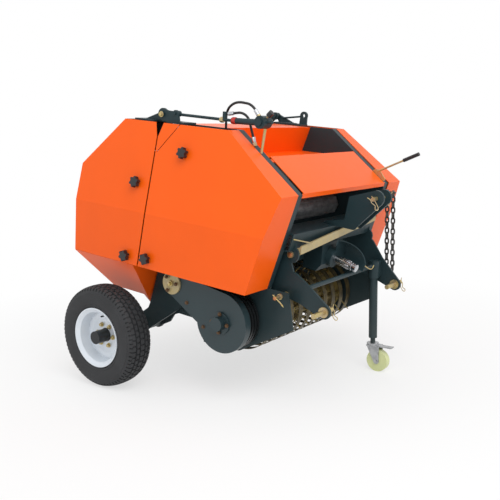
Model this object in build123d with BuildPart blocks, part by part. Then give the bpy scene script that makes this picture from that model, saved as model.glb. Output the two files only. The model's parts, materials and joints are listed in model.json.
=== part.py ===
"""Small three-point round baler with a fixed roller chamber and a lifting tailgate.

The machine is drawn level, in its own frame: X across (+X = left side), Y rearwards, Z up.
It parks nose down on its front jack, so every tilted piece is drawn on planes of MACHINE,
which is turned by the parking pitch. Wheels, axle stubs, jack leg and caster stand on the ground.
Units are millimetres.
"""
from build123d import *
from math import asin, atan, atan2, cos, degrees, hypot, radians, sin, tan
import os

os.makedirs("parts", exist_ok=True)

# ---------------------------------------------------------------- stance
parking_pitch = 6.0                # nose-down angle of the body on its jack, degrees
world_y = 464.0                    # moves the machine so that the bounding box is centred
pitch_sin = sin(radians(parking_pitch))
pitch_cos = cos(radians(parking_pitch))
axle_y, axle_z = 25.0, 239.0       # wheel axle in the machine's own frame
tyre_r = 246.0
stance = tyre_r - axle_y * pitch_sin - axle_z * pitch_cos    # raises it until the tyres stand on the ground
MACHINE = Plane(origin=(0, world_y, stance), x_dir=(1, 0, 0), z_dir=(0, -pitch_sin, pitch_cos))

# ---------------------------------------------------------------- general fits
sheet = 3.0                        # covers and sheet panels
plate = 8.0                        # side plates of the chamber
hitch_plate = 10.0
running_gap = 0.1                  # radial room of a turning shaft
panel_gap = 4.0                    # half of the gap at the tailgate seam
side_gap = 6.0                     # room between turning drums and the side plates

# ---------------------------------------------------------------- body outline, seen from the side
body_low = 606.0                   # lower edge of the side covers
body_top = 1265.0
crease_z = 858.0                   # above this line the covers lean inwards
nose_y, nose_z = -876.0, 1028.0    # foremost corner of the covers
brow_y = -549.0                    # where the slanted front meets the top
chin_y = -756.0                    # lower front corner
tail_y = 298.0                     # upright rear edge
tail_z = 1032.0                    # start of the rear chamfer
crown_y = 65.0                     # end of the rear chamfer on top
seam_low_y, seam_mid_y, seam_top_y = -132.0, -168.0, -156.0
notch_z = 1202.0                   # foot of the V notch under the hinge
notch_half = 24.0                  # half width of the notch at the top

# ---------------------------------------------------------------- widths from the centre plane
chamber_half = 380.0               # inner face of the side plates
flange_half = chamber_half + 40.0  # inner edge of the covers' front faces
cover_half = chamber_half + 202.0
cover_top_half = chamber_half + 112.0
front_half = chamber_half - 12.0   # centre front panel

# ---------------------------------------------------------------- tailgate
hinge_y, hinge_z = -144.0, 1301.0
hinge_pin_r = 11.0
lug_r = 24.0
skirt_low = 420.0                  # lower edge of the tailgate skirt
skirt_half = 430.0
skirt_tip_y, skirt_tip_z = -46.0, 372.0    # front corner of the skirt runs on down to here

# ---------------------------------------------------------------- tailgate cylinders
ram_x = chamber_half + 60.0        # middle of the cylinders
ram_base_y, ram_base_z = -560.0, 1150.0
ram_eye_y, ram_eye_z = -60.0, 1120.0
barrel_r, ram_rod_r = 24.0, 11.0
barrel_length = 330.0
ram_eye_r = 20.0
ram_pin_r = 10.0

# ---------------------------------------------------------------- bale chamber
chamber_y, chamber_z = -200.0, 838.0
roller_circle = 372.0              # radius of the ring of roller axes
roller_r = 56.0
roller_shaft_r = 20.0
front_roller_angles = (109.0, 141.0, 173.0, 199.0, 248.0)
tail_roller_angles = (77.0, 47.0, 17.0, -13.0, -43.0, -73.0)
roller_ribs = 8
rib_height = 4.0

# ---------------------------------------------------------------- wheels
tyre_half = cover_half + 33.0      # middle of the tread from the centre plane
stub_inset = 115.0                 # the axle steps down to its stubs this far inside the treads
tyre_bulge = 75.0                  # half width of the tyre
rim_flange_r = 144.0
rim_r = 127.0
rim_recess = 66.0                  # depth of the wheel disc below the rim's outer edge
axle_r = 35.0
axle_bracket = 12.0                # plates that hang the axle from the side plates
bracket_gap = 6.0                  # packing between bracket and side plate, which clears the tailgate
axle_inner_x = 250.0               # inner end of the axle tubes
stub_r = 20.0
hub_r = 31.0

# ---------------------------------------------------------------- three-point hitch
lower_pin_y, lower_pin_z = -1003.0, 543.0
lower_pin_r = 11.0
hitch_half = chamber_half - 39.0   # middle of the lower hitch plates
hitch_eye_r = 31.0
pin_reach = 92.0                   # lower pins, from the plate's middle to the free end
pin_collar_r = 23.0
top_pin_y, top_pin_z = -1040.0, 1008.0
top_pin_r = 9.5
mast_half = 36.0                   # middle of the mast plates
mast_plate = 12.0
mast_eye_r = 36.0
ear_pin_y, ear_pin_z = -816.0, 758.4        # pin that the lock bar turns on
ear_pin_r = 12.0
ear_r = 38.0
adjust_pin_y, adjust_pin_z = -810.0, 578.0  # locking pin in the right hitch plate
adjust_sleeve_r = 13.0
bar_high, bar_thick = 36.0, 8.0    # flat lock bar across the front
chain_wire, chain_inner = 6.0, 27.0    # safety chain
chain_links = 15

# ---------------------------------------------------------------- pick-up
reel_y, reel_z = -592.0, 432.0
reel_tip_r = 195.0
reel_turn = 186.0                  # angle of the first tine bar
tine_lag = radians(13.0)           # tips trail behind their bars by this angle
tine_bar_circle = 88.0
tine_bar_r = 11.0
tine_r = 3.0
tines_per_bar = 9
tine_bars = 4
tine_pitch = 2 * chamber_half / (tines_per_bar + 1)
reel_half = chamber_half - 18.0
reel_shaft_r = 16.0
band_r = 158.0
band_width = 34.0
shield_x = chamber_half + plate                  # inner face of the pick-up side shields
shield_thick = 6.0
band_rear = 165.0                  # how far the bands run back behind the reel's axis
pivot_y, pivot_z = -299.0, 550.0   # pick-up pivot and drive take-off

# ---------------------------------------------------------------- drive
pto_y, pto_z = -957.0, 668.0       # tip of the input shaft
pto_slope = 12.0                   # shaft points down towards the tractor, degrees
pto_r = 18.5
pto_length = 118.0
gearbox_nose_r = 44.0
guard_r = 95.0                     # curved guard beside the input shaft
case_x = chamber_half + 104.0      # inner face of the pick-up chain case
case_thick = 36.0
case_r = 137.0                     # large and small end of the case
case_small_r = 54.0
drum_r, drum_groove = 131.0, 7.0   # ribbed drum behind the case

# ---------------------------------------------------------------- jack with caster
jack_x = hitch_half - 58.0
jack_y = world_y - 966.0           # the jack stands upright; its heights are from the ground
jack_tube_r = 21.0
jack_low, jack_high = 168.0, 560.0
sleeve_low, sleeve_high = 474.0, 556.0
sleeve_r = 27.0
caster_r = 55.0
caster_width = 34.0
caster_trail = 30.0


def side(x):
    """Plane across the machine at x: local x points rearwards, local y up."""
    return Plane(origin=MACHINE.from_local_coords((x, 0, 0)), x_dir=MACHINE.y_dir, z_dir=MACHINE.x_dir)


def cross(y):
    """Upright plane at y facing the rear: local x points to the left side, local y up."""
    return Plane(origin=MACHINE.from_local_coords((0, y, 0)), x_dir=MACHINE.x_dir, z_dir=-MACHINE.y_dir)


def axis_plane(x, y, z):
    """Plane at x whose origin lies on the axle or shaft axis through y, z."""
    return Plane(origin=MACHINE.from_local_coords((x, y, z)), x_dir=MACHINE.y_dir, z_dir=MACHINE.x_dir)


def section_plane(y, z):
    """Plane through a cross axle: local x is the radius, local y runs to the left side."""
    return Plane(origin=MACHINE.from_local_coords((0, y, z)), x_dir=MACHINE.z_dir, z_dir=MACHINE.y_dir)


def finish(piece, name):
    """Label a finished piece and write its file."""
    piece.part.label = name
    export_step(piece.part, f"parts/{name}.step")


def between(first, second, share):
    """Point on the line from first to second."""
    return (first[0] + (second[0] - first[0]) * share, first[1] + (second[1] - first[1]) * share)


def strip(points, thick):
    """Outline of a bent sheet: an open run of points and its copy on the left of the run."""
    runs = [(Vector(*b) - Vector(*a)).normalized() for a, b in zip(points, points[1:])]
    lefts = [Vector(-run.Y, run.X) for run in runs]
    copies = []
    for place, point in enumerate(points):
        near = lefts[max(place - 1, 0)]
        far = lefts[min(place, len(lefts) - 1)]
        mitre = (near + far).normalized()
        shift = mitre * (thick / mitre.dot(near))
        copies.append((point[0] + shift.X, point[1] + shift.Y))
    return list(points) + copies[::-1]


def around(centre, radius, angle):
    """Point at a radius and angle (radians) around a centre."""
    return (centre[0] + radius * cos(angle), centre[1] + radius * sin(angle))


def roller_place(angle):
    """Place of a chamber roller's axis, seen from the side."""
    return around((chamber_y, chamber_z), roller_circle, radians(angle))


def round_bar(start, end, radius):
    """Round bar between two points of the machine's frame."""
    first, last = MACHINE.from_local_coords(start), MACHINE.from_local_coords(end)
    with BuildPart() as bar:
        with BuildSketch(Plane(origin=first, z_dir=last - first)):
            Circle(radius)
        extrude(amount=(last - first).length)
    return bar.part


SIDES = (-1, 1)                    # right side, left side

# outlines seen from the side, (y, z)
seam_low = (seam_low_y, body_low)
seam_mid = (seam_mid_y, crease_z)
seam_top = (seam_top_y, notch_z)
front_outline = [
    (seam_low_y - panel_gap, body_low),
    (chin_y, body_low),
    (nose_y, nose_z),
    (brow_y, body_top),
    (seam_top_y - notch_half, body_top),
    (seam_top_y - panel_gap, notch_z),
    (seam_mid_y - panel_gap, crease_z),
]
tail_outline = [
    (seam_low_y + panel_gap, body_low),
    (seam_mid_y + panel_gap, crease_z),
    (seam_top_y + panel_gap, notch_z),
    (seam_top_y + notch_half, body_top),
    (crown_y, body_top),
    (tail_y, tail_z),
    (tail_y, body_low),
]
lean = (cover_half - cover_top_half) / (body_top - crease_z)


def stretch(start, end, extra):
    """The end of a line, moved on past itself by extra."""
    length = hypot(end[0] - start[0], end[1] - start[1])
    return between(start, end, 1 + extra / length)


def cover_block(outline, sign, inset=0.0):
    """Block of a side cover: its outline pulled out sideways and trimmed to the leaning face."""
    half = cover_half - inset
    spill = 60.0
    with BuildPart() as block:
        with BuildSketch(side(sign * (flange_half - inset))):
            with BuildLine():
                Polyline(*outline, close=True)
            make_face()
            if inset:
                offset(amount=-inset, kind=Kind.INTERSECTION)
        extrude(amount=sign * (half - flange_half + inset))
        with BuildSketch(cross(0)):
            with BuildLine():
                Polyline(
                    (sign * half, crease_z - inset * lean / 2),
                    (sign * (half - lean * (body_top + spill - crease_z)), body_top + spill),
                    (sign * (half + spill), body_top + spill),
                    (sign * (half + spill), crease_z - inset * lean / 2),
                    close=True,
                )
            make_face()
        extrude(amount=2000, both=True, mode=Mode.SUBTRACT)
    return block


# ================================================================ side covers
spill = 60.0                       # how far a hollow is cut past its open edge
chin, nose, brow = (chin_y, body_low), (nose_y, nose_z), (brow_y, body_top)
tail_foot, tail_corner, crown = (tail_y, body_low), (tail_y, tail_z), (crown_y, body_top)
front_hollow = [
    stretch(nose, chin, spill), nose, stretch(nose, brow, spill),
    (0, stretch(nose, brow, spill)[1]), (0, stretch(nose, chin, spill)[1]),
]
tail_hollow = [
    stretch(tail_corner, tail_foot, spill), tail_corner, stretch(tail_corner, crown, spill),
    (seam_mid_y - spill, stretch(tail_corner, crown, spill)[1]), (seam_mid_y - spill, body_low - spill),
]
corner_cut = ((-279.0, body_top), (seam_mid_y - panel_gap, 1134.0))    # seam of the small corner panel
corner_gap = 5.0


def corner_wedge(shift):
    """Wedge above the corner panels' slanted seam, right across the machine."""
    wedge_top = stretch(corner_cut[1], corner_cut[0], spill)
    with BuildPart() as wedge:
        with BuildSketch(side(-2 * flange_half)):
            with BuildLine():
                Polyline(
                    (wedge_top[0] + shift, wedge_top[1]),
                    (corner_cut[1][0] + shift, corner_cut[1][1]),
                    (corner_cut[1][0] + 2 * spill, corner_cut[1][1]),
                    (corner_cut[1][0] + 2 * spill, wedge_top[1]),
                    close=True,
                )
            make_face()
        extrude(amount=4 * flange_half)
    return wedge


with BuildPart() as front_covers:
    for sign in SIDES:
        add(cover_block(front_outline, sign).part)
    for sign in SIDES:
        add(cover_block(front_hollow, sign, sheet).part, mode=Mode.SUBTRACT)
    add(corner_wedge(0.0).part, mode=Mode.SUBTRACT)
finish(front_covers, "front_covers")

with BuildPart() as corner_panels:
    for sign in SIDES:
        add(cover_block(front_outline, sign).part)
    for sign in SIDES:
        add(cover_block(front_hollow, sign, sheet).part, mode=Mode.SUBTRACT)
    add(corner_wedge(corner_gap).part, mode=Mode.INTERSECT)
finish(corner_panels, "corner_panels")

with BuildPart() as tail_covers:
    for sign in SIDES:
        add(cover_block(tail_outline, sign).part)
    for sign in SIDES:
        add(cover_block(tail_hollow, sign, sheet).part, mode=Mode.SUBTRACT)
finish(tail_covers, "tail_covers")

# lower skirts of the tailgate, folding in under the side covers
skirt_top = body_low - 1
skirt_front = ((-104.0, skirt_top), (skirt_tip_y, skirt_tip_z))
skirt_rear = ((tail_y, skirt_top), (172.0, skirt_low))


def skirt_block(sign, inset=0.0):
    """Block of a tailgate skirt: folded inwards below, with its front corner drawn down."""
    reach = 2 * inset
    corner = [] if inset else [(skirt_tip_y + 10, skirt_low)]
    front_high = stretch(skirt_front[1], skirt_front[0], reach)
    front_deep = stretch(skirt_front[0], skirt_front[1], reach)
    rear_high = stretch(skirt_rear[1], skirt_rear[0], reach)
    rear_deep = stretch(skirt_rear[0], skirt_rear[1], reach)
    slope = (cover_half - skirt_half) / (skirt_top - skirt_low)
    with BuildPart() as block:
        with BuildSketch(side(sign * (chamber_half + plate - inset))):
            with BuildLine():
                Polyline(
                    (front_high[0] + inset, front_high[1]), (rear_high[0] - inset, rear_high[1]),
                    (rear_deep[0] - inset, rear_deep[1]), *corner,
                    (front_deep[0] + inset, front_deep[1]), close=True,
                )
            make_face()
        extrude(amount=sign * (cover_half - chamber_half - plate + inset))
        with BuildSketch(cross(0)):
            with BuildLine():
                Polyline(
                    (sign * (cover_half - 1.3 * inset + slope * spill), skirt_top + spill),
                    (sign * (skirt_half - 1.3 * inset - slope * spill), skirt_low - spill),
                    (sign * (cover_half + spill), skirt_low - spill),
                    (sign * (cover_half + 3 * spill), skirt_top + spill),
                    close=True,
                )
            make_face()
        extrude(amount=1500, both=True, mode=Mode.SUBTRACT)
    return block


with BuildPart() as tail_skirts:
    for sign in SIDES:
        add(skirt_block(sign).part)
    for sign in SIDES:
        add(skirt_block(sign, sheet).part, mode=Mode.SUBTRACT)
finish(tail_skirts, "tail_skirts")

# ================================================================ chamber side plates
seam_room = 10.0                   # gap between the front and tailgate side plates
front_plate_outline = [
    (seam_low_y - seam_room, 360.0),
    (-420.0, 360.0),
    (-700.0, 520.0),
    (chin_y + 4, body_low),
    (nose_y + 5, nose_z - 2),
    (brow_y + 4, body_top),
    (seam_top_y - notch_half, body_top),
    (seam_top_y - seam_room, notch_z),
    (seam_mid_y - seam_room, crease_z),
]
tail_plate_outline = [
    (seam_low_y, skirt_low - 4),
    (seam_low_y, body_low),
    (seam_mid_y, crease_z),
    (seam_top_y, notch_z),
    (seam_top_y + notch_half, body_top),
    (crown_y - 3, body_top),
    (tail_y - 5, tail_z - 2),
    (tail_y - 5, body_low),
    (172.0, skirt_low - 4),
]
flange_depth = flange_half - chamber_half
with BuildPart() as side_plates:
    for sign in SIDES:
        with BuildSketch(side(sign * chamber_half)):
            with BuildLine():
                Polyline(*front_plate_outline, close=True)
            make_face()
            for angle in front_roller_angles:
                with Locations(roller_place(angle)):
                    Circle(roller_shaft_r + running_gap, mode=Mode.SUBTRACT)
        extrude(amount=sign * plate)
        # bent-out flange that closes the front between plate and cover
        with BuildSketch(side(sign * (chamber_half + plate))):
            with BuildLine():
                Polyline(
                    (chin_y + 4, body_low), (nose_y + 5, nose_z - 2), (brow_y + 4, body_top),
                    (brow_y + 14, body_top), (nose_y + 13, nose_z - 5), (chin_y + 12, body_low), close=True,
                )
            make_face()
        extrude(amount=sign * (flange_depth - plate - running_gap))
finish(side_plates, "side_plates")

with BuildPart() as tail_plates:
    for sign in SIDES:
        with BuildSketch(side(sign * chamber_half)):
            with BuildLine():
                Polyline(*tail_plate_outline, close=True)
            make_face()
            for angle in tail_roller_angles:
                with Locations(roller_place(angle)):
                    Circle(roller_shaft_r + running_gap, mode=Mode.SUBTRACT)
        extrude(amount=sign * plate)
        with BuildSketch(side(sign * (chamber_half + plate))):
            with BuildLine():
                Polyline(
                    (crown_y - 3, body_top), (tail_y - 5, tail_z - 2), (tail_y - 5, body_low),
                    (tail_y - 13, body_low), (tail_y - 13, tail_z - 5), (crown_y - 14, body_top), close=True,
                )
            make_face()
        extrude(amount=sign * (flange_depth - plate - running_gap))
        # boss that the lifting cylinder's rod eye lies against
        with BuildSketch(side(sign * (chamber_half + plate))):
            with Locations((ram_eye_y, ram_eye_z)):
                Circle(24.0)
        extrude(amount=sign * (ram_x - ram_rod_r - 1 - chamber_half - plate))
finish(tail_plates, "tail_plates")

# ================================================================ chamber rollers


def build_roller(angle):
    """Ribbed steel roller with its shaft ends in the side plates."""
    place_y, place_z = roller_place(angle)
    drum_half = chamber_half - side_gap
    with BuildPart() as roller:
        with BuildSketch(axis_plane(-drum_half, place_y, place_z)):
            Circle(roller_r - rib_height)
            with PolarLocations(roller_r - rib_height, roller_ribs):
                Rectangle(2 * rib_height, 10.0)
        extrude(amount=2 * drum_half)
        with BuildSketch(axis_plane(-chamber_half - plate, place_y, place_z)):
            Circle(roller_shaft_r)
        extrude(amount=2 * (chamber_half + plate))
    return roller


for index, angle in enumerate(front_roller_angles, 1):
    finish(build_roller(angle), f"front_roller_{index}")
for index, angle in enumerate(tail_roller_angles, 1):
    finish(build_roller(angle), f"tail_roller_{index}")

# ================================================================ front panel, twine box and deck
panel_top = between((brow_y, body_top), (nose_y, nose_z), 0.42)
panel_low = between((brow_y, body_top), (nose_y, nose_z), 0.985)
with BuildPart() as front_panel:
    panel_run = [
        (panel_top[0] + 14, panel_top[1] - 12), panel_top, panel_low, (panel_low[0] + 4, panel_low[1] - 20),
    ]
    with BuildSketch(side(-front_half)):
        with BuildLine():
            Polyline(*strip(panel_run, sheet), close=True)
        make_face()
    extrude(amount=2 * front_half)
    # the lower lip runs out to the side plates and carries the panel
    with BuildSketch(side(-chamber_half)):
        with BuildLine():
            Polyline(*strip(panel_run[2:], sheet), close=True)
        make_face()
    extrude(amount=2 * chamber_half)
finish(front_panel, "front_panel")

box_floor_z = 1136.0
box_wall_y = -372.0
wall_lean = -40.0
deck_rear_y = seam_top_y - notch_half
with BuildPart() as twine_box:
    box_run = [
        (deck_rear_y, body_top - sheet), (box_wall_y + wall_lean, body_top - sheet),
        (box_wall_y, box_floor_z), (panel_top[0] + 22, box_floor_z),
    ]
    with BuildSketch(side(-chamber_half)):
        with BuildLine():
            Polyline(*strip(box_run, sheet), close=True)
        make_face()
    extrude(amount=2 * chamber_half)
finish(twine_box, "twine_box")

# ================================================================ cross beams of the front body
beam_sheet = 6.0
beam_top = (-844.0, 855.0)         # front face of the folded beam, upper and lower edge
beam_low = (-825.0, 775.0)
beam_under = (-765.0, 770.0)       # rear edge of its lower return
beam_rear = (-730.0, 862.0)        # rear edge of its upper return
with BuildPart() as front_beam:
    with BuildSketch(side(-chamber_half)):
        with BuildLine():
            Polyline(*strip([beam_rear, beam_top, beam_low, beam_under], beam_sheet), close=True)
        make_face()
    extrude(amount=2 * chamber_half)
finish(front_beam, "front_beam")

# box sections between the side plates: y, z, width, height
front_beam_sections = ((-690.0, 705.0, 50.0, 60.0), (-215.0, 385.0, 60.0, 44.0))
tail_beam_sections = ((262.0, 905.0, 40.0, 90.0), (262.0, 660.0, 40.0, 60.0))
with BuildPart() as cross_beams:
    for beam_y, beam_z, wide, high in front_beam_sections:
        with BuildSketch(side(-chamber_half)):
            with Locations((beam_y, beam_z)):
                RectangleRounded(wide, high, 6.0)
        extrude(amount=2 * chamber_half)
finish(cross_beams, "cross_beams")

with BuildPart() as tail_beams:
    for beam_y, beam_z, wide, high in tail_beam_sections:
        with BuildSketch(side(-chamber_half)):
            with Locations((beam_y, beam_z)):
                RectangleRounded(wide, high, 6.0)
        extrude(amount=2 * chamber_half)
finish(tail_beams, "tail_beams")

# ================================================================ tailgate hinge
lug_thick = 12.0
tail_lug_x = chamber_half + 52.0
front_lug_x = tail_lug_x + lug_thick + 8.0
hinge_plate = 8.0
link_eye_y, link_eye_z = hinge_y - 76, hinge_z + 8      # rear eye of the linkage on the right
link_pin_r = 6.0
with BuildPart() as hinge_lugs:
    for sign, radius in ((-1, lug_r + 4), (1, lug_r - 6)):
        with BuildSketch(side(sign * front_lug_x)):
            with BuildLine():
                Polyline(
                    (hinge_y - 130, body_top), (hinge_y - radius, hinge_z + 8), (hinge_y, hinge_z),
                    (hinge_y - radius, body_top), close=True,
                )
            make_face()
            with Locations((hinge_y, hinge_z)):
                Circle(radius)
            if sign < 0:
                with Locations((link_eye_y, link_eye_z)):
                    Circle(16.0)
                with BuildLine():
                    Polyline(
                        (link_eye_y - 16, link_eye_z), (link_eye_y - 24, body_top + 4), (hinge_y, body_top + 4),
                        (hinge_y, hinge_z + 20), (link_eye_y + 12, link_eye_z + 10), close=True,
                    )
                make_face()
        extrude(amount=sign * lug_thick)
        if sign < 0:
            with BuildSketch(axis_plane(sign * (front_lug_x + lug_thick + 6), link_eye_y, link_eye_z)):
                Circle(link_pin_r)
            extrude(amount=lug_thick + 6 + front_lug_x - tail_lug_x)
        with BuildSketch(axis_plane(sign * (tail_lug_x - 8), hinge_y, hinge_z)):
            Circle(hinge_pin_r)
        extrude(amount=sign * (front_lug_x + lug_thick - tail_lug_x + 16))
        with BuildSketch(side(sign * chamber_half)):
            with BuildLine():
                Polyline(
                    (hinge_y - 130, body_top), (hinge_y - lug_r - 12, body_top),
                    (hinge_y - lug_r - 12, body_top + hinge_plate), (hinge_y - 130, body_top + hinge_plate),
                    close=True,
                )
            make_face()
        extrude(amount=sign * (front_lug_x + lug_thick - chamber_half))
finish(hinge_lugs, "hinge_lugs")

with BuildPart() as tail_lugs:
    for sign in SIDES:
        with BuildSketch(side(sign * tail_lug_x)):
            with BuildLine():
                Polyline(
                    (hinge_y, hinge_z + lug_r - 4), (-20.0, body_top + hinge_plate), (-20.0, body_top),
                    (seam_top_y + notch_half + 6, body_top), (hinge_y, hinge_z - lug_r + 4), close=True,
                )
            make_face()
            with Locations((hinge_y, hinge_z)):
                Circle(lug_r - 4)
            with Locations((hinge_y, hinge_z)):
                Circle(hinge_pin_r + running_gap, mode=Mode.SUBTRACT)
        extrude(amount=sign * lug_thick)
        with BuildSketch(side(sign * chamber_half)):
            with BuildLine():
                Polyline(
                    (-104.0, body_top), (20.0, body_top), (20.0, body_top + hinge_plate),
                    (-104.0, body_top + hinge_plate), close=True,
                )
            make_face()
        extrude(amount=sign * (tail_lug_x + lug_thick + 30 - chamber_half))
finish(tail_lugs, "tail_lugs")

# ================================================================ tailgate cylinders
ram_angle = atan2(ram_eye_z - ram_base_z, ram_eye_y - ram_base_y)
ram_length = hypot(ram_eye_z - ram_base_z, ram_eye_y - ram_base_y)


def ram_point(x, along):
    """Point on a cylinder's axis, measured from its base pin."""
    return MACHINE.from_local_coords(
        (x, ram_base_y + along * cos(ram_angle), ram_base_z + along * sin(ram_angle))
    )


ram_direction = MACHINE.y_dir * cos(ram_angle) + MACHINE.z_dir * sin(ram_angle)


def ram_plane(x, along):
    """Plane across a cylinder's axis, facing the rod eye."""
    return Plane(origin=ram_point(x, along), x_dir=MACHINE.x_dir, z_dir=ram_direction)


for label, sign in (("right", -1), ("left", 1)):
    ram_side = sign * ram_x
    with BuildPart() as barrel:
        with BuildSketch(ram_plane(ram_side, 30.0)):
            Circle(barrel_r)
        extrude(amount=barrel_length)
        with BuildSketch(ram_plane(ram_side, 30.0 + barrel_length - 26.0)):
            Circle(barrel_r + 3)
        extrude(amount=26.0)
        with BuildSketch(axis_plane(ram_side - 10, ram_base_y, ram_base_z)):
            Circle(ram_eye_r)
            Rectangle(2 * 34.0, 20.0, rotation=degrees(ram_angle), align=(Align.MIN, Align.CENTER))
        extrude(amount=20)
        with BuildSketch(ram_plane(ram_side, 60.0)):
            Circle(ram_rod_r + running_gap)
        extrude(amount=barrel_length, mode=Mode.SUBTRACT)
        with BuildSketch(axis_plane(ram_side - 20, ram_base_y, ram_base_z)):
            Circle(ram_pin_r + running_gap)
        extrude(amount=40, mode=Mode.SUBTRACT)
    finish(barrel, f"ram_barrel_{label}")

    with BuildPart() as rod:
        with BuildSketch(ram_plane(ram_side, 130.0)):
            Circle(ram_rod_r)
        extrude(amount=ram_length - 130.0)
        with BuildSketch(axis_plane(ram_side - 8, ram_eye_y, ram_eye_z)):
            Circle(ram_eye_r)
        extrude(amount=16)
    finish(rod, f"ram_rod_{label}")

with BuildPart() as ram_brackets:
    for sign in SIDES:
        with BuildSketch(side(sign * (chamber_half + plate))):
            with Locations((ram_base_y, ram_base_z)):
                Circle(26.0)
        extrude(amount=sign * (ram_x - 11 - chamber_half - plate))
        with BuildSketch(side(sign * (chamber_half + plate))):
            with Locations((ram_base_y, ram_base_z)):
                Circle(ram_pin_r)
        extrude(amount=sign * (ram_x + 14 - chamber_half - plate))
finish(ram_brackets, "ram_brackets")

# ================================================================ valve and linkage on top of the right cover
valve_y, valve_z, valve_r = -684.0, 1309.0, 27.0
valve_x = chamber_half + 60.0      # middle of the barrel
valve_inner = valve_x - 34.0
eye_half = 7.0
flange_top = ((brow_y + 4, body_top), (nose_y + 5, nose_z - 2))    # slanted edge of the side plates
ring_lug_y = -325.0
far_link_x = front_lug_x - 5.3
with BuildPart() as top_valve:
    with BuildSketch(side(-valve_inner)):
        with Locations((valve_y, valve_z)):
            Circle(valve_r)
    extrude(amount=-(valve_x + 22 - valve_inner))
    add(round_bar((-valve_x - 20, valve_y, valve_z), (-valve_x - 30, valve_y, valve_z), 14.0))
    add(round_bar((-valve_x, valve_y + 10, valve_z - 3), (-valve_x, -525.0, 1303.0), 13.0))
    add(round_bar((-valve_x, -530.0, 1303.0), (-valve_x, link_eye_y - 8, link_eye_z - 3), 6.4))
    add(round_bar((-valve_x, valve_y - 10, valve_z), (-valve_x, valve_y - 50, valve_z + 4), 8.0))
    add(round_bar((-valve_x, -483.0, 1300.0), (-valve_x, -483.0, 1338.0), 9.0))
    with BuildSketch(side(-valve_x - eye_half)):
        with Locations((link_eye_y, link_eye_z)):
            Circle(13.0)
    extrude(amount=2 * eye_half)
    with BuildSketch(side(-valve_x - 3 * eye_half)):
        with Locations((link_eye_y, link_eye_z)):
            Circle(link_pin_r + running_gap)
    extrude(amount=6 * eye_half, mode=Mode.SUBTRACT)
    # the left side has a plain rod between the hinge lug and a ring lug on the cover
    add(round_bar((far_link_x, -192.0, 1294.0), (far_link_x, ring_lug_y + 6, 1312.0), 5.0))
    with BuildSketch(side(far_link_x - 5.9)):
        with Locations((ring_lug_y, 1316.0)):
            Circle(22.0)
        with BuildLine():
            Polyline(
                (ring_lug_y - 20, body_top + 0.1), (ring_lug_y + 24, body_top + 0.1),
                (ring_lug_y + 20, 1316.0), (ring_lug_y - 20, 1316.0), close=True,
            )
        make_face()
        with Locations((ring_lug_y, 1316.0)):
            Circle(9.0, mode=Mode.SUBTRACT)
    extrude(amount=11.8)
    with BuildSketch(side(chamber_half)):
        with Locations((ring_lug_y, body_top + 0.1 + hinge_plate / 2)):
            Rectangle(44.0, hinge_plate)
    extrude(amount=far_link_x + 5.9 - chamber_half)
finish(top_valve, "top_valve")

# zinc levers: post and stem of the valve on the right, hand lever in the slot on the left
slot_x = (front_half + chamber_half) / 2
lever_y, lever_z = -827.0, 1080.0
lever_pin_z = lever_z - 28
slot_run = (between((brow_y, body_top), (nose_y, nose_z), 0.77), between((brow_y, body_top), (nose_y, nose_z), 0.97))
post_foot = between(*flange_top, 0.38)
grip_start, grip_end = (slot_x, -960.0, 1150.0), (slot_x, -1036.0, 1190.0)
knob_start, knob_end = (-valve_x, valve_y - 28, valve_z + 28), (-valve_x, valve_y - 44, valve_z + 44)
with BuildPart() as control_lever:
    post_x = -valve_inner - 6
    add(round_bar((post_x, post_foot[0], post_foot[1] + 4.2), (post_x, valve_y + 3.3, valve_z - valve_r - 0.3), 6.0))
    add(round_bar((-valve_x, valve_y - 19.4, valve_z + 19.4), knob_start, 4.0))
    add(round_bar((slot_x - 3, lever_y, lever_pin_z), (chamber_half, lever_y, lever_pin_z), 6.0))
    add(round_bar((slot_x, lever_y, lever_z), (slot_x, grip_start[1] + 0.3, grip_start[2] - 0.15), 5.0))
    with BuildSketch(side(slot_x - 3)):
        with BuildLine():
            Polyline(
                slot_run[0], (lever_y, lever_pin_z - 4), slot_run[1], (slot_run[1][0] - 8, slot_run[1][1] + 12),
                (lever_y - 12, lever_z + 10), (lever_y + 10, lever_z + 12), close=True,
            )
        make_face()
    extrude(amount=6)
finish(control_lever, "control_lever")

with BuildPart() as handles:
    add(round_bar(grip_start, grip_end, 9.0))
    add(round_bar(knob_start, knob_end, 12.0))
finish(handles, "handles")

# hoses from the valve and the linkage down to the cover: straight runs with tangent bends
hose_r = 5.4
hose_routes = (
    (
        (-393.4, -462.0, 1190.0), (-412.0, -468.0, 1345.0), (-440.0, -540.0, 1385.0),
        (-440.0, -625.0, 1378.0), (-440.0, -666.0, 1330.1),
    ),
    ((-438.0, -494.0, 1328.4), (-420.0, -588.0, 1345.0), (-412.0, -636.0, 1202.9)),
)
with BuildPart() as hoses:
    for route in hose_routes:
        points = [MACHINE.from_local_coords(point) for point in route]
        runs = [last - first for first, last in zip(points, points[1:])]
        bends = [
            0.45 * min(first.length, last.length) / tan(radians(first.get_angle(last)) / 2)
            for first, last in zip(runs, runs[1:])
        ]
        with BuildLine() as line:
            FilletPolyline(*points, radius=bends)
        with BuildSketch(Plane(origin=points[0], z_dir=runs[0])):
            Circle(hose_r)
        sweep(path=line.line)
finish(hoses, "hoses")

# ================================================================ star knobs that hold the covers
knob_r, knob_waist, knob_lobes = 26.0, 19.5, 6
front_knob_places = ((-336.0, 1144.0), (-194.0, 654.0))
tail_knob_places = ((-87.0, 988.0), (-62.0, 645.0))


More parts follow.
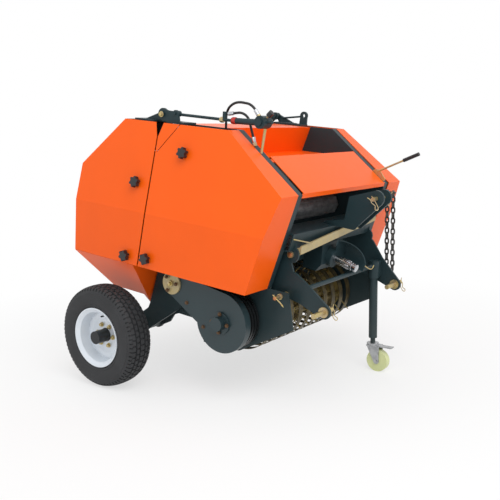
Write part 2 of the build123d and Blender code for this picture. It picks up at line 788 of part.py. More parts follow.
def star_knob(sign, y, z):
    """Six-lobed hand knob on a short foot, square to the cover where it sits."""
    rise = max(z - crease_z, 0.0)
    tilt = atan(lean) if rise else 0.0
    outward = MACHINE.x_dir * (sign * cos(tilt)) + MACHINE.z_dir * sin(tilt)
    seat = Plane(
        origin=MACHINE.from_local_coords((sign * (cover_half - lean * rise), y, z)), x_dir=MACHINE.y_dir,
        z_dir=outward,
    )
    with BuildPart() as knob:
        with BuildSketch(seat):
            Circle(9.0)
        extrude(amount=9.0)
        with BuildSketch(seat.offset(8.0)):
            with BuildLine():
                Polyline(
                    *[
                        around((0, 0), radius, radians(360 / knob_lobes * (lobe + share)))
                        for lobe in range(knob_lobes)
                        for radius, share in ((knob_r, 0.2), (knob_r, 0.5), (knob_waist, 0.7), (knob_waist, 1.0))
                    ],
                    close=True,
                )
            make_face()
        extrude(amount=20.0)
    return knob.part


with BuildPart() as front_knobs:
    for sign in SIDES:
        for y, z in front_knob_places:
            add(star_knob(sign, y, z))
finish(front_knobs, "front_knobs")

with BuildPart() as tail_knobs:
    for sign in SIDES:
        for y, z in tail_knob_places:
            add(star_knob(sign, y, z))
finish(tail_knobs, "tail_knobs")

# ================================================================ three-point hitch
main_beam_y, main_beam_z, main_beam_wide, main_beam_high = front_beam_sections[0]
main_beam_front = main_beam_y - main_beam_wide / 2
hitch_top = between(beam_low, beam_top, 0.45)
with BuildPart() as hitch_plates:
    for sign, front_edge in (
        (-1, [(ear_pin_y - 4, ear_pin_z - ear_r + 1), (-835.0, 684.0), (-858.0, 676.0), (-921.0, 638.0)]),
        (1, [(ear_pin_y - 36, ear_pin_z - 13), (-862.0, 738.0), (-921.0, 662.0)]),
    ):
        with BuildSketch(side(sign * hitch_half - hitch_plate / 2)):
            with BuildLine():
                Polyline(
                    beam_low, beam_under, (main_beam_front, main_beam_z + main_beam_high / 2 - 6),
                    (main_beam_front, main_beam_z - main_beam_high / 2 + 6), (main_beam_front, 580.0),
                    (-877.0, 553.0), (lower_pin_y + 10, lower_pin_z - hitch_eye_r + 1.6),
                    (lower_pin_y, lower_pin_z), (lower_pin_y - 19, lower_pin_z + hitch_eye_r - 6.5),
                    *front_edge[::-1], (ear_pin_y - 20, ear_pin_z + ear_r - 5.7), hitch_top, close=True,
                )
            make_face()
            with Locations((lower_pin_y, lower_pin_z)):
                Circle(hitch_eye_r)
            with Locations((ear_pin_y, ear_pin_z)):
                Circle(ear_r)
            with Locations((lower_pin_y, lower_pin_z)):
                Circle(lower_pin_r, mode=Mode.SUBTRACT)
            with BuildLine():
                Polyline(beam_under, beam_low, beam_top, beam_rear, close=True)
            make_face(mode=Mode.SUBTRACT)
            if sign < 0:
                with Locations((ear_pin_y, ear_pin_z)):
                    Circle(ear_pin_r + running_gap, mode=Mode.SUBTRACT)
        extrude(amount=hitch_plate)
finish(hitch_plates, "hitch_plates")

# both lower pins stick out to the right of their plates; the locking pin stands above the right one
with BuildPart() as lower_pins:
    for sign in SIDES:
        plate_x = sign * hitch_half
        with BuildSketch(axis_plane(plate_x - pin_reach, lower_pin_y, lower_pin_z)):
            Circle(lower_pin_r)
        extrude(amount=pin_reach + 60)
        for start, length, radius in ((-13.1, 8.0, pin_collar_r), (5.1, 12.0, lower_pin_r + 4)):
            with BuildSketch(axis_plane(plate_x + start, lower_pin_y, lower_pin_z)):
                Circle(radius)
            extrude(amount=length)
    with BuildSketch(axis_plane(-hitch_half - hitch_plate / 2, adjust_pin_y, adjust_pin_z)):
        Circle(adjust_sleeve_r)
    extrude(amount=-54.0)
    with BuildSketch(axis_plane(-hitch_half - hitch_plate / 2, adjust_pin_y, adjust_pin_z)):
        Circle(adjust_sleeve_r - 4)
    extrude(amount=-90.0)
    # pin of the lock bar with its head on the outside
    with BuildSketch(axis_plane(-hitch_half - hitch_plate / 2 - running_gap, ear_pin_y, ear_pin_z)):
        Circle(ear_pin_r + 3)
    extrude(amount=-8.0)
    with BuildSketch(axis_plane(-hitch_half - hitch_plate / 2 - 4, ear_pin_y, ear_pin_z)):
        Circle(ear_pin_r)
    extrude(amount=hitch_plate + 18)
finish(lower_pins, "lower_pins")

# flat lock bar across the front, on a pin through the right hitch plate
bar_y = beam_top[0] - bar_thick - 6
bar_near, bar_far = (-hitch_half + 11, 781.0), (hitch_half + 4, 858.0)
bar_lug_x = -hitch_half + hitch_plate / 2 + 2
with BuildPart() as lock_bar:
    with BuildSketch(cross(bar_y)):
        with BuildLine():
            Polyline(
                (bar_near[0], bar_near[1] - bar_high / 2), (bar_far[0], bar_far[1] - bar_high / 2),
                (bar_far[0], bar_far[1] + bar_high / 2), (bar_near[0], bar_near[1] + bar_high / 2), close=True,
            )
        make_face()
        with Locations((bar_far[0] - 24, bar_far[1] - 2)):
            Circle(5.0, mode=Mode.SUBTRACT)
    extrude(amount=-bar_thick)
    with BuildSketch(side(bar_lug_x)):
        with Locations((ear_pin_y, ear_pin_z)):
            Circle(20.0)
        with BuildLine():
            Polyline(
                (ear_pin_y - 12, ear_pin_z - 16), (ear_pin_y + 8, ear_pin_z + 18),
                (bar_y, bar_near[1] + 16), (bar_y, bar_near[1] - 16), close=True,
            )
        make_face()
        with Locations((ear_pin_y, ear_pin_z)):
            Circle(ear_pin_r + running_gap, mode=Mode.SUBTRACT)
    extrude(amount=8)
    # stop that the far end rests on
    with BuildSketch(cross(bar_y)):
        with Locations((bar_far[0] - 8, bar_far[1] - bar_high / 2 + 8)):
            Circle(9.0)
    extrude(amount=-(beam_top[0] - bar_y + 6))
    with BuildSketch(side(-chamber_half)):
        with BuildLine():
            Polyline(*strip([beam_rear, beam_top, beam_low, beam_under], beam_sheet), close=True)
        make_face()
        with BuildLine():
            Polyline(beam_rear, beam_top, beam_low, beam_under, close=True)
        make_face()
    extrude(amount=2 * chamber_half, mode=Mode.SUBTRACT)
finish(lock_bar, "lock_bar")

with BuildPart() as mast:
    for sign in SIDES:
        with BuildSketch(side(sign * mast_half - mast_plate / 2)):
            with BuildLine():
                Polyline(
                    beam_top, (-944.0, 851.0),
                    (top_pin_y - mast_eye_r * 0.7, top_pin_z - mast_eye_r * 0.7), (top_pin_y, top_pin_z),
                    (top_pin_y + 11, top_pin_z + mast_eye_r - 2), (-906.0, 999.0), (-892.0, 890.0),
                    (-800.0, 872.0), between(beam_rear, beam_top, 0.45), close=True,
                )
            make_face()
            with Locations((top_pin_y, top_pin_z)):
                Circle(mast_eye_r)
            with Locations((top_pin_y, top_pin_z)):
                Circle(top_pin_r, mode=Mode.SUBTRACT)
        extrude(amount=mast_plate)
    with BuildSketch(side(-mast_half - mast_plate / 2)):
        with Locations((-915.0, 930.0)):
            Rectangle(10.0, 80.0)
    extrude(amount=2 * mast_half + mast_plate)
finish(mast, "mast")

with BuildPart() as top_pin:
    with BuildSketch(axis_plane(-mast_half - 40, top_pin_y, top_pin_z)):
        Circle(top_pin_r)
    extrude(amount=2 * mast_half + 94)
finish(top_pin, "top_pin")

# safety chain: two strands of links hang from a bolt in the left flange
bolt_x, bolt_z, bolt_r = chamber_half + 20, 985.0, 4.5
bolt_y = flange_top[1][0] - 0.7 + (flange_top[1][1] - bolt_z) * (chin_y - nose_y) / (nose_z - body_low)
link_half, link_wide = chain_inner / 2, 11.0


def chain_link(middle, across):
    """Long link of square wire, hanging upright with its flat side square to across."""
    with BuildPart() as link:
        with BuildSketch(Plane(origin=middle - across * (chain_wire / 2), x_dir=(0, 0, 1), z_dir=across)):
            for reach, half in ((link_half + chain_wire, link_wide / 2 + chain_wire), (link_half, link_wide / 2)):
                with BuildLine():
                    Polyline(
                        (reach, -half / 2), (reach, half / 2), (reach - half, half), (half - reach, half),
                        (-reach, half / 2), (-reach, -half / 2), (half - reach, -half), (reach - half, -half),
                        close=True,
                    )
                make_face(mode=Mode.ADD if reach > link_half else Mode.SUBTRACT)
        extrude(amount=chain_wire)
    return link.part


with BuildPart() as safety_chain:
    add(round_bar((bolt_x, bolt_y, bolt_z), (bolt_x, bolt_y - 66, bolt_z), bolt_r))
    for strand in range(2):
        hang = MACHINE.from_local_coords((bolt_x, bolt_y - 21 - 32 * strand, bolt_z)) + Vector(0, 0, bolt_r + 0.3)
        for link in range(chain_links):
            middle = hang - Vector(0, 0, link_half + link * (chain_inner - 0.3))
            add(chain_link(middle, Vector(0, 1, 0) if link % 2 == 0 else Vector(1, 0, 0)))
finish(safety_chain, "safety_chain")

with BuildPart() as cross_tube:
    with BuildSketch(side(-hitch_half + hitch_plate / 2)):
        with Locations((-914.0, 630.0)):
            Circle(10.0)
    extrude(amount=hitch_half - hitch_plate / 2 + jack_x)
    with BuildSketch(Plane((jack_x, jack_y, sleeve_low))):
        Circle(sleeve_r)
    extrude(amount=2 * (sleeve_high - sleeve_low), mode=Mode.SUBTRACT)
finish(cross_tube, "cross_tube")

# ================================================================ input drive
pto_dir = -MACHINE.y_dir * cos(radians(pto_slope)) - MACHINE.z_dir * sin(radians(pto_slope))


def pto_plane(back):
    """Plane across the input shaft, the given length behind its tip, facing the tractor."""
    tip = MACHINE.from_local_coords((0, pto_y, pto_z))
    return Plane(origin=tip - pto_dir * back, x_dir=MACHINE.x_dir, z_dir=pto_dir)


with BuildPart() as pto_shaft:
    with BuildSketch(pto_plane(pto_length)):
        Circle(pto_r)
    extrude(amount=pto_length)
    with BuildSketch(pto_plane(24.0)):
        Circle(pto_r + 1)
        Circle(pto_r - 3, mode=Mode.SUBTRACT)
    extrude(amount=6, mode=Mode.SUBTRACT)
finish(pto_shaft, "pto_shaft")

with BuildPart() as gearbox:
    with BuildSketch(side(-75.0)):
        with BuildLine():
            Polyline(
                between(beam_low, beam_under, 0.3), beam_under, (main_beam_front, beam_under[1] - 2),
                (main_beam_front, 640.0), (-785.0, 634.0), (-812.0, 668.0), (-812.0, 755.0), close=True,
            )
        make_face()
    extrude(amount=150.0)
    with BuildSketch(pto_plane(pto_length + 60)):
        Circle(gearbox_nose_r)
    extrude(amount=60)
    with BuildSketch(pto_plane(pto_length + 20)):
        Circle(pto_r + running_gap)
    extrude(amount=60, mode=Mode.SUBTRACT)
finish(gearbox, "gearbox")

# guard around the left of the input shaft: a curved sheet on a flange behind it, cut off at a slant
guard_start, guard_end = -20.0, 105.0
with BuildPart() as pto_guard:
    for back, depth, inner in ((pto_length + 6, pto_length + 2, guard_r - 4), (pto_length + 6, 4.0, gearbox_nose_r)):
        with BuildSketch(pto_plane(back)):
            Circle(guard_r)
            Circle(inner + running_gap, mode=Mode.SUBTRACT)
            with BuildLine():
                Polyline(
                    (0, 0), (3 * guard_r * cos(radians(guard_start)), 3 * guard_r * sin(radians(guard_start))),
                    (3 * guard_r, 3 * guard_r),
                    (3 * guard_r * cos(radians(guard_end)), 3 * guard_r * sin(radians(guard_end))), close=True,
                )
            make_face(mode=Mode.INTERSECT)
        extrude(amount=depth)
    with BuildSketch(Plane(pto_plane(0).origin, x_dir=pto_dir, z_dir=MACHINE.z_dir)):
        with BuildLine():
            Polyline((-115.0, -30.0), (12.0, 110.0), (80.0, 110.0), (80.0, -60.0), (-115.0, -60.0), close=True)
        make_face()
    extrude(amount=200.0, both=True, mode=Mode.SUBTRACT)
finish(pto_guard, "pto_guard")

# ================================================================ pick-up
with BuildPart() as pickup_reel:
    with BuildSketch(axis_plane(-reel_half, reel_y, reel_z)):
        Circle(24.0)
    extrude(amount=2 * reel_half)
    with BuildSketch(axis_plane(-shield_x - shield_thick, reel_y, reel_z)):
        Circle(reel_shaft_r)
    extrude(amount=2 * (shield_x + shield_thick))
    for x in (-reel_half, -4.0, reel_half - 8.0):
        with BuildSketch(axis_plane(x, reel_y, reel_z)):
            Circle(tine_bar_circle + 16)
        extrude(amount=8.0)
    with BuildSketch(axis_plane(-reel_half, reel_y, reel_z)):
        with PolarLocations(tine_bar_circle, tine_bars, start_angle=reel_turn):
            Circle(tine_bar_r)
    extrude(amount=2 * reel_half)
    # spring tines: six-sided wires, bent once, whose tips trail behind the bar
    for bar in range(tine_bars):
        bar_angle = radians(reel_turn + 360 / tine_bars * bar)
        for tine in range(tines_per_bar):
            tine_x = tine_pitch * (tine - (tines_per_bar - 1) / 2)
            root, bend, tip = (
                MACHINE.from_local_coords(
                    (tine_x, reel_y + radius * cos(bar_angle + lag), reel_z + radius * sin(bar_angle + lag))
                )
                for radius, lag in (
                    (tine_bar_circle, 0), (tine_bar_circle + 48, tine_lag / 4), (reel_tip_r, tine_lag)
                )
            )
            with BuildLine() as wire:
                Polyline(root, bend, tip)
            with BuildSketch(Plane(origin=root, x_dir=MACHINE.x_dir, z_dir=bend - root)):
                RegularPolygon(tine_r, 6)
            sweep(path=wire.line, transition=Transition.RIGHT)
finish(pickup_reel, "pickup_reel")

band_xs = [tine_pitch * (i - tines_per_bar / 2) for i in range(tines_per_bar + 1)]
with BuildPart() as stripper_bands:
    for x in band_xs:
        with BuildSketch(side(x - band_width / 2)):
            with Locations((reel_y, reel_z)):
                Circle(band_r)
            with Locations((reel_y, reel_z)):
                Rectangle(band_rear, 2 * band_r, align=(Align.MIN, Align.CENTER))
            with Locations((reel_y, reel_z)):
                Circle(band_r - sheet, mode=Mode.SUBTRACT)
            with Locations((reel_y, reel_z)):
                Rectangle(
                    band_rear, 2 * (band_r - sheet), align=(Align.MIN, Align.CENTER), mode=Mode.SUBTRACT,
                )
        extrude(amount=band_width)
finish(stripper_bands, "stripper_bands")

rail = 20.0                        # square bars that carry the bands
with BuildPart() as pickup_rails:
    rail_drop = band_r - sheet - rail / 2
    for rail_z, half in ((reel_z + rail_drop, chamber_half), (reel_z - rail_drop, shield_x)):
        with BuildSketch(side(-half)):
            with Locations((reel_y + band_rear - rail / 2, rail_z)):
                RectangleRounded(rail, rail, 3.0)
        extrude(amount=2 * half)
finish(pickup_rails, "pickup_rails")

shield_outline = [
    (-540.0, 262.0), (-612.0, 276.0), (-888.0, 443.0), (-850.0, 600.0), (-440.0, 600.0),
    (-400.0, 580.0), (-400.0, 262.0),
]
with BuildPart() as pickup_shields:
    for sign in SIDES:
        with BuildSketch(side(sign * shield_x)):
            with BuildLine():
                Polyline(*shield_outline, close=True)
            make_face()
            with Locations((reel_y, reel_z)):
                Circle(reel_shaft_r + running_gap, mode=Mode.SUBTRACT)
            if sign < 0:
                with Locations((adjust_pin_y, adjust_pin_z)):
                    Circle(adjust_sleeve_r + running_gap, mode=Mode.SUBTRACT)
        extrude(amount=sign * shield_thick)
finish(pickup_shields, "pickup_shields")

# chain case of the pick-up drive on the right side, with a ribbed drum behind its large end
case_angle = atan2(pivot_z - reel_z, pivot_y - reel_y)
case_length = hypot(pivot_z - reel_z, pivot_y - reel_y)
case_top = case_angle + radians(90) - asin((case_r - case_small_r) / case_length)


case_outer = case_x + case_thick
shield_outer = shield_x + shield_thick
with BuildPart() as chain_case:
    with BuildSketch(side(-case_x)):
        with Locations((reel_y, reel_z)):
            Circle(case_r)
        with Locations((pivot_y, pivot_z)):
            Circle(case_small_r)
        with BuildLine():
            Polyline(
                around((reel_y, reel_z), case_r, case_top), around((pivot_y, pivot_z), case_small_r, case_top),
                around((pivot_y, pivot_z), case_small_r, case_angle - radians(86)),
                around((reel_y, reel_z), case_r + 3, radians(-12)), (reel_y, reel_z), close=True,
            )
        make_face()
    extrude(amount=-case_thick)
    with BuildSketch(side(-case_outer)):
        with Locations((reel_y, reel_z)):
            Circle(50.0)
    extrude(amount=-6.0)
    with BuildSketch(side(-case_outer)):
        with Locations((reel_y, reel_z)):
            Circle(31.0)
    extrude(amount=-36.0)
    # ribs of the drum
    for rib in range(4):
        with BuildSketch(side(-case_x + 20.0 * rib)):
            with Locations((reel_y, reel_z)):
                Circle(drum_r)
        extrude(amount=12.0)
    with BuildSketch(side(-case_x)):
        with Locations((reel_y, reel_z)):
            Circle(drum_r - drum_groove)
    extrude(amount=72.0)
    with BuildSketch(side(-case_x)):
        with Locations((reel_y, reel_z)):
            Circle(40.0)
    extrude(amount=case_x - shield_outer)
    with BuildSketch(side(-case_x)):
        with Locations((pivot_y, pivot_z)):
            Circle(30.0)
    extrude(amount=case_x - chamber_half - plate)
finish(chain_case, "chain_case")

with BuildPart() as bearing_cover:
    with BuildSketch(side(-case_outer)):
        with Locations((pivot_y, pivot_z)):
            Circle(case_small_r - 2)
    extrude(amount=-8.0)
    with BuildSketch(side(-case_outer)):
        with Locations((pivot_y, pivot_z)):
            Circle(13.0)
    extrude(amount=-16.0)
finish(bearing_cover, "bearing_cover")

# ================================================================ axle and wheels
axle_beam_y, axle_beam_z, axle_beam_wide, axle_beam_high = front_beam_sections[1]
bracket_x = chamber_half + plate + bracket_gap
with BuildPart() as axle:
    for sign in SIDES:
        with BuildSketch(axis_plane(sign * axle_inner_x, axle_y, axle_z)):
            Circle(axle_r)
        extrude(amount=sign * (tyre_half - stub_inset - axle_inner_x))
        with BuildSketch(axis_plane(sign * (tyre_half - stub_inset), axle_y, axle_z)):
            Circle(stub_r)
        extrude(amount=sign * (stub_inset + 35))
        # outer plate on a packing, inner plate under the cross beam
        with BuildSketch(side(sign * bracket_x)):
            with BuildLine():
                Polyline(
                    (-101.0, 548.0), (-260.0, 548.0), (-262.0, 400.0), (axle_y - 60, axle_z - 14),
                    (axle_y, axle_z), (axle_y + 38, axle_z + 20), (-46.0, 350.0), (-60.0, 386.0), close=True,
                )
            make_face()
            with Locations((axle_y, axle_z)):
                Circle(axle_r + 12)
        extrude(amount=sign * axle_bracket)
        with BuildSketch(side(sign * (chamber_half + plate))):
            with BuildLine():
                Polyline((-150.0, 548.0), (-260.0, 548.0), (-262.0, 380.0), (-150.0, 380.0), close=True)
            make_face()
        extrude(amount=sign * bracket_gap)
        with BuildSketch(side(sign * axle_inner_x)):
            with BuildLine():
                Polyline(
                    (axle_y, axle_z), (axle_y, axle_z - axle_r - 8), (-62.0, 246.0), (-88.0, 290.0),
                    (axle_beam_y - axle_beam_wide / 2, axle_beam_z - axle_beam_high / 2),
                    (axle_beam_y + axle_beam_wide / 2, axle_beam_z - axle_beam_high / 2),
                    (axle_beam_y + axle_beam_wide / 2, axle_beam_z + axle_beam_high / 2 - 6),
                    (axle_y + 34, axle_z + 28), close=True,
                )
            make_face()
            with Locations((axle_y, axle_z)):
                Circle(axle_r + 8)
        extrude(amount=sign * axle_bracket)
finish(axle, "axle")

axle_axis = Axis(MACHINE.from_local_coords((0, axle_y, axle_z)), MACHINE.x_dir)


def wheel_profile(sign, points):
    """Half section of a wheel part: radius, and offset outwards from the middle of the tread."""
    with BuildPart() as ring:
        with BuildSketch(section_plane(axle_y, axle_z)):
            with BuildLine():
                Polyline(*[(radius, sign * (tyre_half + offset)) for radius, offset in points], close=True)
            make_face()
        revolve(axis=axle_axis)
    return ring


bead = 52.0                        # tyre beads, from the middle of the tread
rim_edge = 69.0                    # outer edge of the rim flange
disc = rim_edge - rim_recess       # outer face of the wheel disc
stub_end = stub_r + running_gap
tyre_points = [
    (rim_r, -bead), (200.0, -tyre_bulge), (tyre_r, -bead),
    (tyre_r, bead), (200.0, tyre_bulge), (rim_r, bead),
]
rim_points = [
    (stub_end, -60.0), (hub_r, -60.0), (hub_r, disc - 10), (72.0, disc - 10), (88.0, disc - 4),
    (106.0, disc - 4), (113.0, disc - 14), (rim_r - 5, -bead - 4), (rim_flange_r - 5, -rim_edge),
    (rim_flange_r, -rim_edge), (rim_flange_r, -bead - 12), (rim_r - 0.3, -bead - 0.3), (rim_r - 0.3, bead + 0.3),
    (rim_flange_r, bead + 12), (rim_flange_r, rim_edge), (rim_flange_r - 5, rim_edge),
    (rim_r - 5, bead + 4), (113.0, disc + 4), (106.0, disc + 4), (88.0, disc), (hub_r, disc),
    (hub_r, rim_edge + 3), (0, rim_edge + 3), (0, 36.0), (stub_end, 36.0),
]
for label, sign in (("right", -1), ("left", 1)):
    finish(wheel_profile(sign, tyre_points), f"tyre_{label}")
    finish(wheel_profile(sign, rim_points), f"rim_{label}")

# ================================================================ parking jack on a caster
with BuildPart() as jack_sleeve:
    with BuildSketch(Plane((jack_x, jack_y, sleeve_low))):
        Circle(sleeve_r)
        with Locations((sleeve_r, 0)):
            Rectangle(2 * (hitch_half - hitch_plate / 2 - jack_x - sleeve_r), 30.0)
        Circle(jack_tube_r + running_gap, mode=Mode.SUBTRACT)
    extrude(amount=sleeve_high - sleeve_low)
finish(jack_sleeve, "jack_sleeve")

with BuildPart() as jack_leg:
    with BuildSketch(Plane((jack_x, jack_y, jack_low))):
        Circle(jack_tube_r)
    extrude(amount=jack_high - jack_low)
    with BuildSketch(Plane((jack_x, jack_y, jack_low))):
        Circle(12.0)
    extrude(amount=-30.0)
finish(jack_leg, "jack_leg")

fork_top = 2 * caster_r + 22.0
fork_gap = caster_width / 2 + 4.0


def caster_plane(x):
    """Plane at x from the jack's centre whose origin lies on the caster's axle."""
    return Plane((jack_x + x, jack_y - caster_trail, caster_r), x_dir=(0, 1, 0), z_dir=(1, 0, 0))


with BuildPart() as caster_fork:
    with BuildSketch(Plane((jack_x, jack_y, fork_top))):
        Circle(30.0)
        Circle(12.0 + running_gap, mode=Mode.SUBTRACT)
    extrude(amount=10.0)
    with BuildSketch(Plane((jack_x, jack_y, fork_top))):
        with BuildLine():
            Polyline((-27.0, 24.0), (27.0, 24.0), (27.0, -44.0), (-27.0, -44.0), close=True)
        make_face()
    extrude(amount=-5.0)
    for sign in (-1, 1):
        with BuildSketch(Plane((jack_x + sign * fork_gap, 0, 0), x_dir=(0, 1, 0), z_dir=(1, 0, 0))):
            with BuildLine():
                Polyline(
                    (jack_y - 44, fork_top), (jack_y + 24, fork_top), (jack_y - caster_trail + 14, caster_r - 4),
                    (jack_y - caster_trail - 14, caster_r - 4), close=True,
                )
            make_face()
            with Locations((jack_y - caster_trail, caster_r)):
                Circle(15.0)
        extrude(amount=sign * 4.0)
    with BuildSketch(Plane((jack_x, jack_y - 44, fork_top - 5))):
        with Locations((0, -32)):
            Rectangle(34.0, 64.0)
    extrude(amount=5.0)
    with BuildSketch(caster_plane(-fork_gap - 10)):
        Circle(6.0)
    extrude(amount=2 * fork_gap + 20)
finish(caster_fork, "caster_fork")

with BuildPart() as caster_wheel:
    with BuildSketch(caster_plane(-caster_width / 2)):
        Circle(caster_r)
        Circle(6.0 + running_gap, mode=Mode.SUBTRACT)
    extrude(amount=caster_width)
finish(caster_wheel, "caster_wheel")
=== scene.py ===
"""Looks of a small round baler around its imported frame.

X runs across the machine (+X is its left side), Y rearwards, Z up, in metres. The machine parks nose
down on its jack, so pieces are placed in the machine's own level frame and turned by the parking pitch.
"""
import json
import math

import bpy
from bpy.props import FloatProperty, FloatVectorProperty, PointerProperty
from mathutils import Matrix, Vector


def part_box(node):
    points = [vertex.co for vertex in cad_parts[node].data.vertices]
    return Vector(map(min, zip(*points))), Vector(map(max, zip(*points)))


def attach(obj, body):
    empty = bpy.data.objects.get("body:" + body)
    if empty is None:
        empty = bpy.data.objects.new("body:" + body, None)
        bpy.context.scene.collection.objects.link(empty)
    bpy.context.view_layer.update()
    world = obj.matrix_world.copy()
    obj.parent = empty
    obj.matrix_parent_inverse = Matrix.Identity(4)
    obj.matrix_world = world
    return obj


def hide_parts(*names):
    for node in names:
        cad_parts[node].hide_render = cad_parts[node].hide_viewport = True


bl_info = {
    "name": "Round Baler Looks",
    "version": (1, 0, 0),
    "blender": (4, 5, 0),
    "location": "View3D > Sidebar > Round Baler",
    "description": "Paint, tyres, knobs, hoses and fittings of a small round baler",
    "category": "Object",
}

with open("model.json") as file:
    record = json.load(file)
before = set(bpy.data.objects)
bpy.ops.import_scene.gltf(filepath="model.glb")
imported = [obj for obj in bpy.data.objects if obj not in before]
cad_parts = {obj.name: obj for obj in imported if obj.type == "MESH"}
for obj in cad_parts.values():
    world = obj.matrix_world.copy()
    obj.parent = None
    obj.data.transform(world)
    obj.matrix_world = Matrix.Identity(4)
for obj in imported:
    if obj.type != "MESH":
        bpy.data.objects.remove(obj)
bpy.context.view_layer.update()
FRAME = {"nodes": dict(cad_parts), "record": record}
NODES = FRAME["nodes"]

RIGHT, LEFT = (-1.0, 0.0, 0.0), (1.0, 0.0, 0.0)
SIDES = (("right", -1.0), ("left", 1.0))

AXLE = Vector((0.0, 0.025, 0.239))
HUB_RADIUS = 0.0335                # black hub in the silver rim
RIM_RECESS = 0.066                 # from the rim's edge in to its disc
WHEEL_NUTS = 6
WHEEL_NUT_RING = 0.053             # radius
CAP_REACH = 0.026                  # of the hub cap's middle, out from the disc
VALVE_RING = 0.098                 # radius
VALVE_REACH = 0.014                # of the valve's middle, out from the disc

TYRE_RADIUS = 0.246
TYRE_MIDDLE = 0.615                # middle of the tread from the centre plane
TYRE_STEPS = 216                   # divisions round the wheel
TREAD_FLOOR = 0.2375               # radius under which no rib face lies
SHOULDER_RADII = (0.225, 0.2385)
SHOULDER_INSIDE = 0.055            # from the middle of the tread
MIDDLE_RIB = 0.012                 # half its width
SECOND_RIB = 0.034                 # its outer edge from the middle of the tread
SIPE_DEPTH = 0.0042

REEL = Vector((0.0, -0.592, 0.432))
REEL_TURN = 186.0                  # degrees, first tine bar
BARS = 4
BAR_RING = 0.088                   # radius of the ring of tine bars
TINES = 9                          # on each bar
TINE_PITCH = 0.076
COIL_RADIUS = 0.0150
COIL_WIRE = 0.0030                 # radius
COIL_TURNS = (-1.5, -0.5, 0.5, 1.5)
COIL_PITCH = 0.0062
COIL_SHIFT = -0.012                # from the tine's place along its bar

EAR_PIN = (-0.3565, -0.816, 0.7584)          # outer ends of the pins
LOCKING_PIN = (-0.4375, -0.810, 0.578)
CLIP_WIRE = 0.0020                 # radius

CASE_FACE = -0.5300                # x of the chain case's outer face
CASE_EDGE = -0.5200                # x of the case's stepped edge
DRUM_FACE = -0.4835                # x where the case ends and its drum begins
COVER = Vector((-0.5360, -0.299, 0.550))    # middle of the bearing cover's face
HITCH_FACE = 0.388                 # outer face of the hitch plates from the centre plane
LUG_BOLT = Vector((0.4722, -0.144, 1.301))

PTO_TIP = Vector((0.0, -0.957, 0.668))
PTO_SLOPE = math.radians(12.0)
SPLINES = 6
SPLINE_RING = 0.0180               # radius
SPLINE_ENDS = (0.098, 0.034)       # back from the shaft's tip

LINKAGE_X = -0.440                 # plane of the linkage and the longer hose
SLEEVE_RADIUS = 0.0082
HEX = 6                            # sides of a nut

CAMERA_AZIMUTH = math.radians(-53.39)
CAMERA_RISE = math.radians(9.06)
CAMERA_ROLL = math.radians(-0.97)
CAMERA_SHIFT = -0.002
CAMERA_PLACE = Vector((-2.913, -2.579, 1.185))

PITCH = math.radians(6.0)          # nose down
WORLD_Y = 0.464                    # brings the machine over the middle of the floor
STANCE = TYRE_RADIUS - AXLE.y * math.sin(PITCH) - AXLE.z * math.cos(PITCH)
PARKED = Vector((0.0, WORLD_Y, STANCE))
MACHINE = Matrix.Translation(PARKED) @ Matrix.Rotation(PITCH, 4, "X")


def at(x, y, z):
    """Point of the machine's level frame, in metres."""
    return MACHINE @ Vector((x, y, z))


# ---------------------------------------------------------------- settings
class BalerPaint(bpy.types.PropertyGroup):
    """Colours of the baler's finishes"""

    orange: FloatVectorProperty(
        name="Panel orange", description="Gloss paint of covers and panels", subtype="COLOR",
        size=3, min=0.0, max=1.0, default=(0.94, 0.115, 0.003))
    gloss: FloatProperty(
        name="Panel roughness", description="Roughness of the orange paint", subtype="FACTOR",
        default=0.30, min=0.0, max=1.0)
    frame_grey: FloatVectorProperty(
        name="Frame grey", description="Dark blue-green paint of frame and drive", subtype="COLOR",
        size=3, min=0.0, max=1.0, default=(0.018, 0.037, 0.043))
    zinc: FloatVectorProperty(
        name="Yellow zinc", description="Plating of pins, clips and bolts", subtype="COLOR",
        size=3, min=0.0, max=1.0, default=(0.53, 0.42, 0.17))
    rubber: FloatVectorProperty(
        name="Rubber", description="Rubber of the tyres", subtype="COLOR",
        size=3, min=0.0, max=1.0, default=(0.020, 0.021, 0.023))


class BalerStudio(bpy.types.PropertyGroup):
    """Camera and light around the baler"""

    lens: FloatProperty(
        name="Lens", description="Focal length of the camera", unit="CAMERA", default=52.1, min=10.0)
    key_power: FloatProperty(
        name="Main light", description="Power of the large overhead light", default=105.0, min=0.0)
    sky: FloatProperty(
        name="Sky", description="Strength of the white surround on the object", default=0.78, min=0.0)
    floor_glow: FloatProperty(
        name="Floor glow", description="Share of plain white in the floor", subtype="FACTOR",
        default=0.62, min=0.0, max=1.0)


# ---------------------------------------------------------------- shader helpers
class Value:
    """Socket whose arithmetic adds Math nodes."""

    def __init__(self, nodes, socket):
        self.nodes = nodes
        self.socket = socket

    def combine(self, operation, first, second):
        return Value(self.nodes, self.nodes.add(
            "ShaderNodeMath", {"operation": operation}, {0: first, 1: second}).outputs[0])

    def either(self, other):
        return self.combine("MAXIMUM", self, other)

    def __add__(self, other):
        return self.combine("ADD", self, other)

    def __mul__(self, other):
        return self.combine("MULTIPLY", self, other)

    def __rsub__(self, other):
        return self.combine("SUBTRACT", other, self)

    def __gt__(self, other):
        return self.combine("GREATER_THAN", self, other)

    def __lt__(self, other):
        return self.combine("LESS_THAN", self, other)

    __radd__ = __add__
    __rmul__ = __mul__


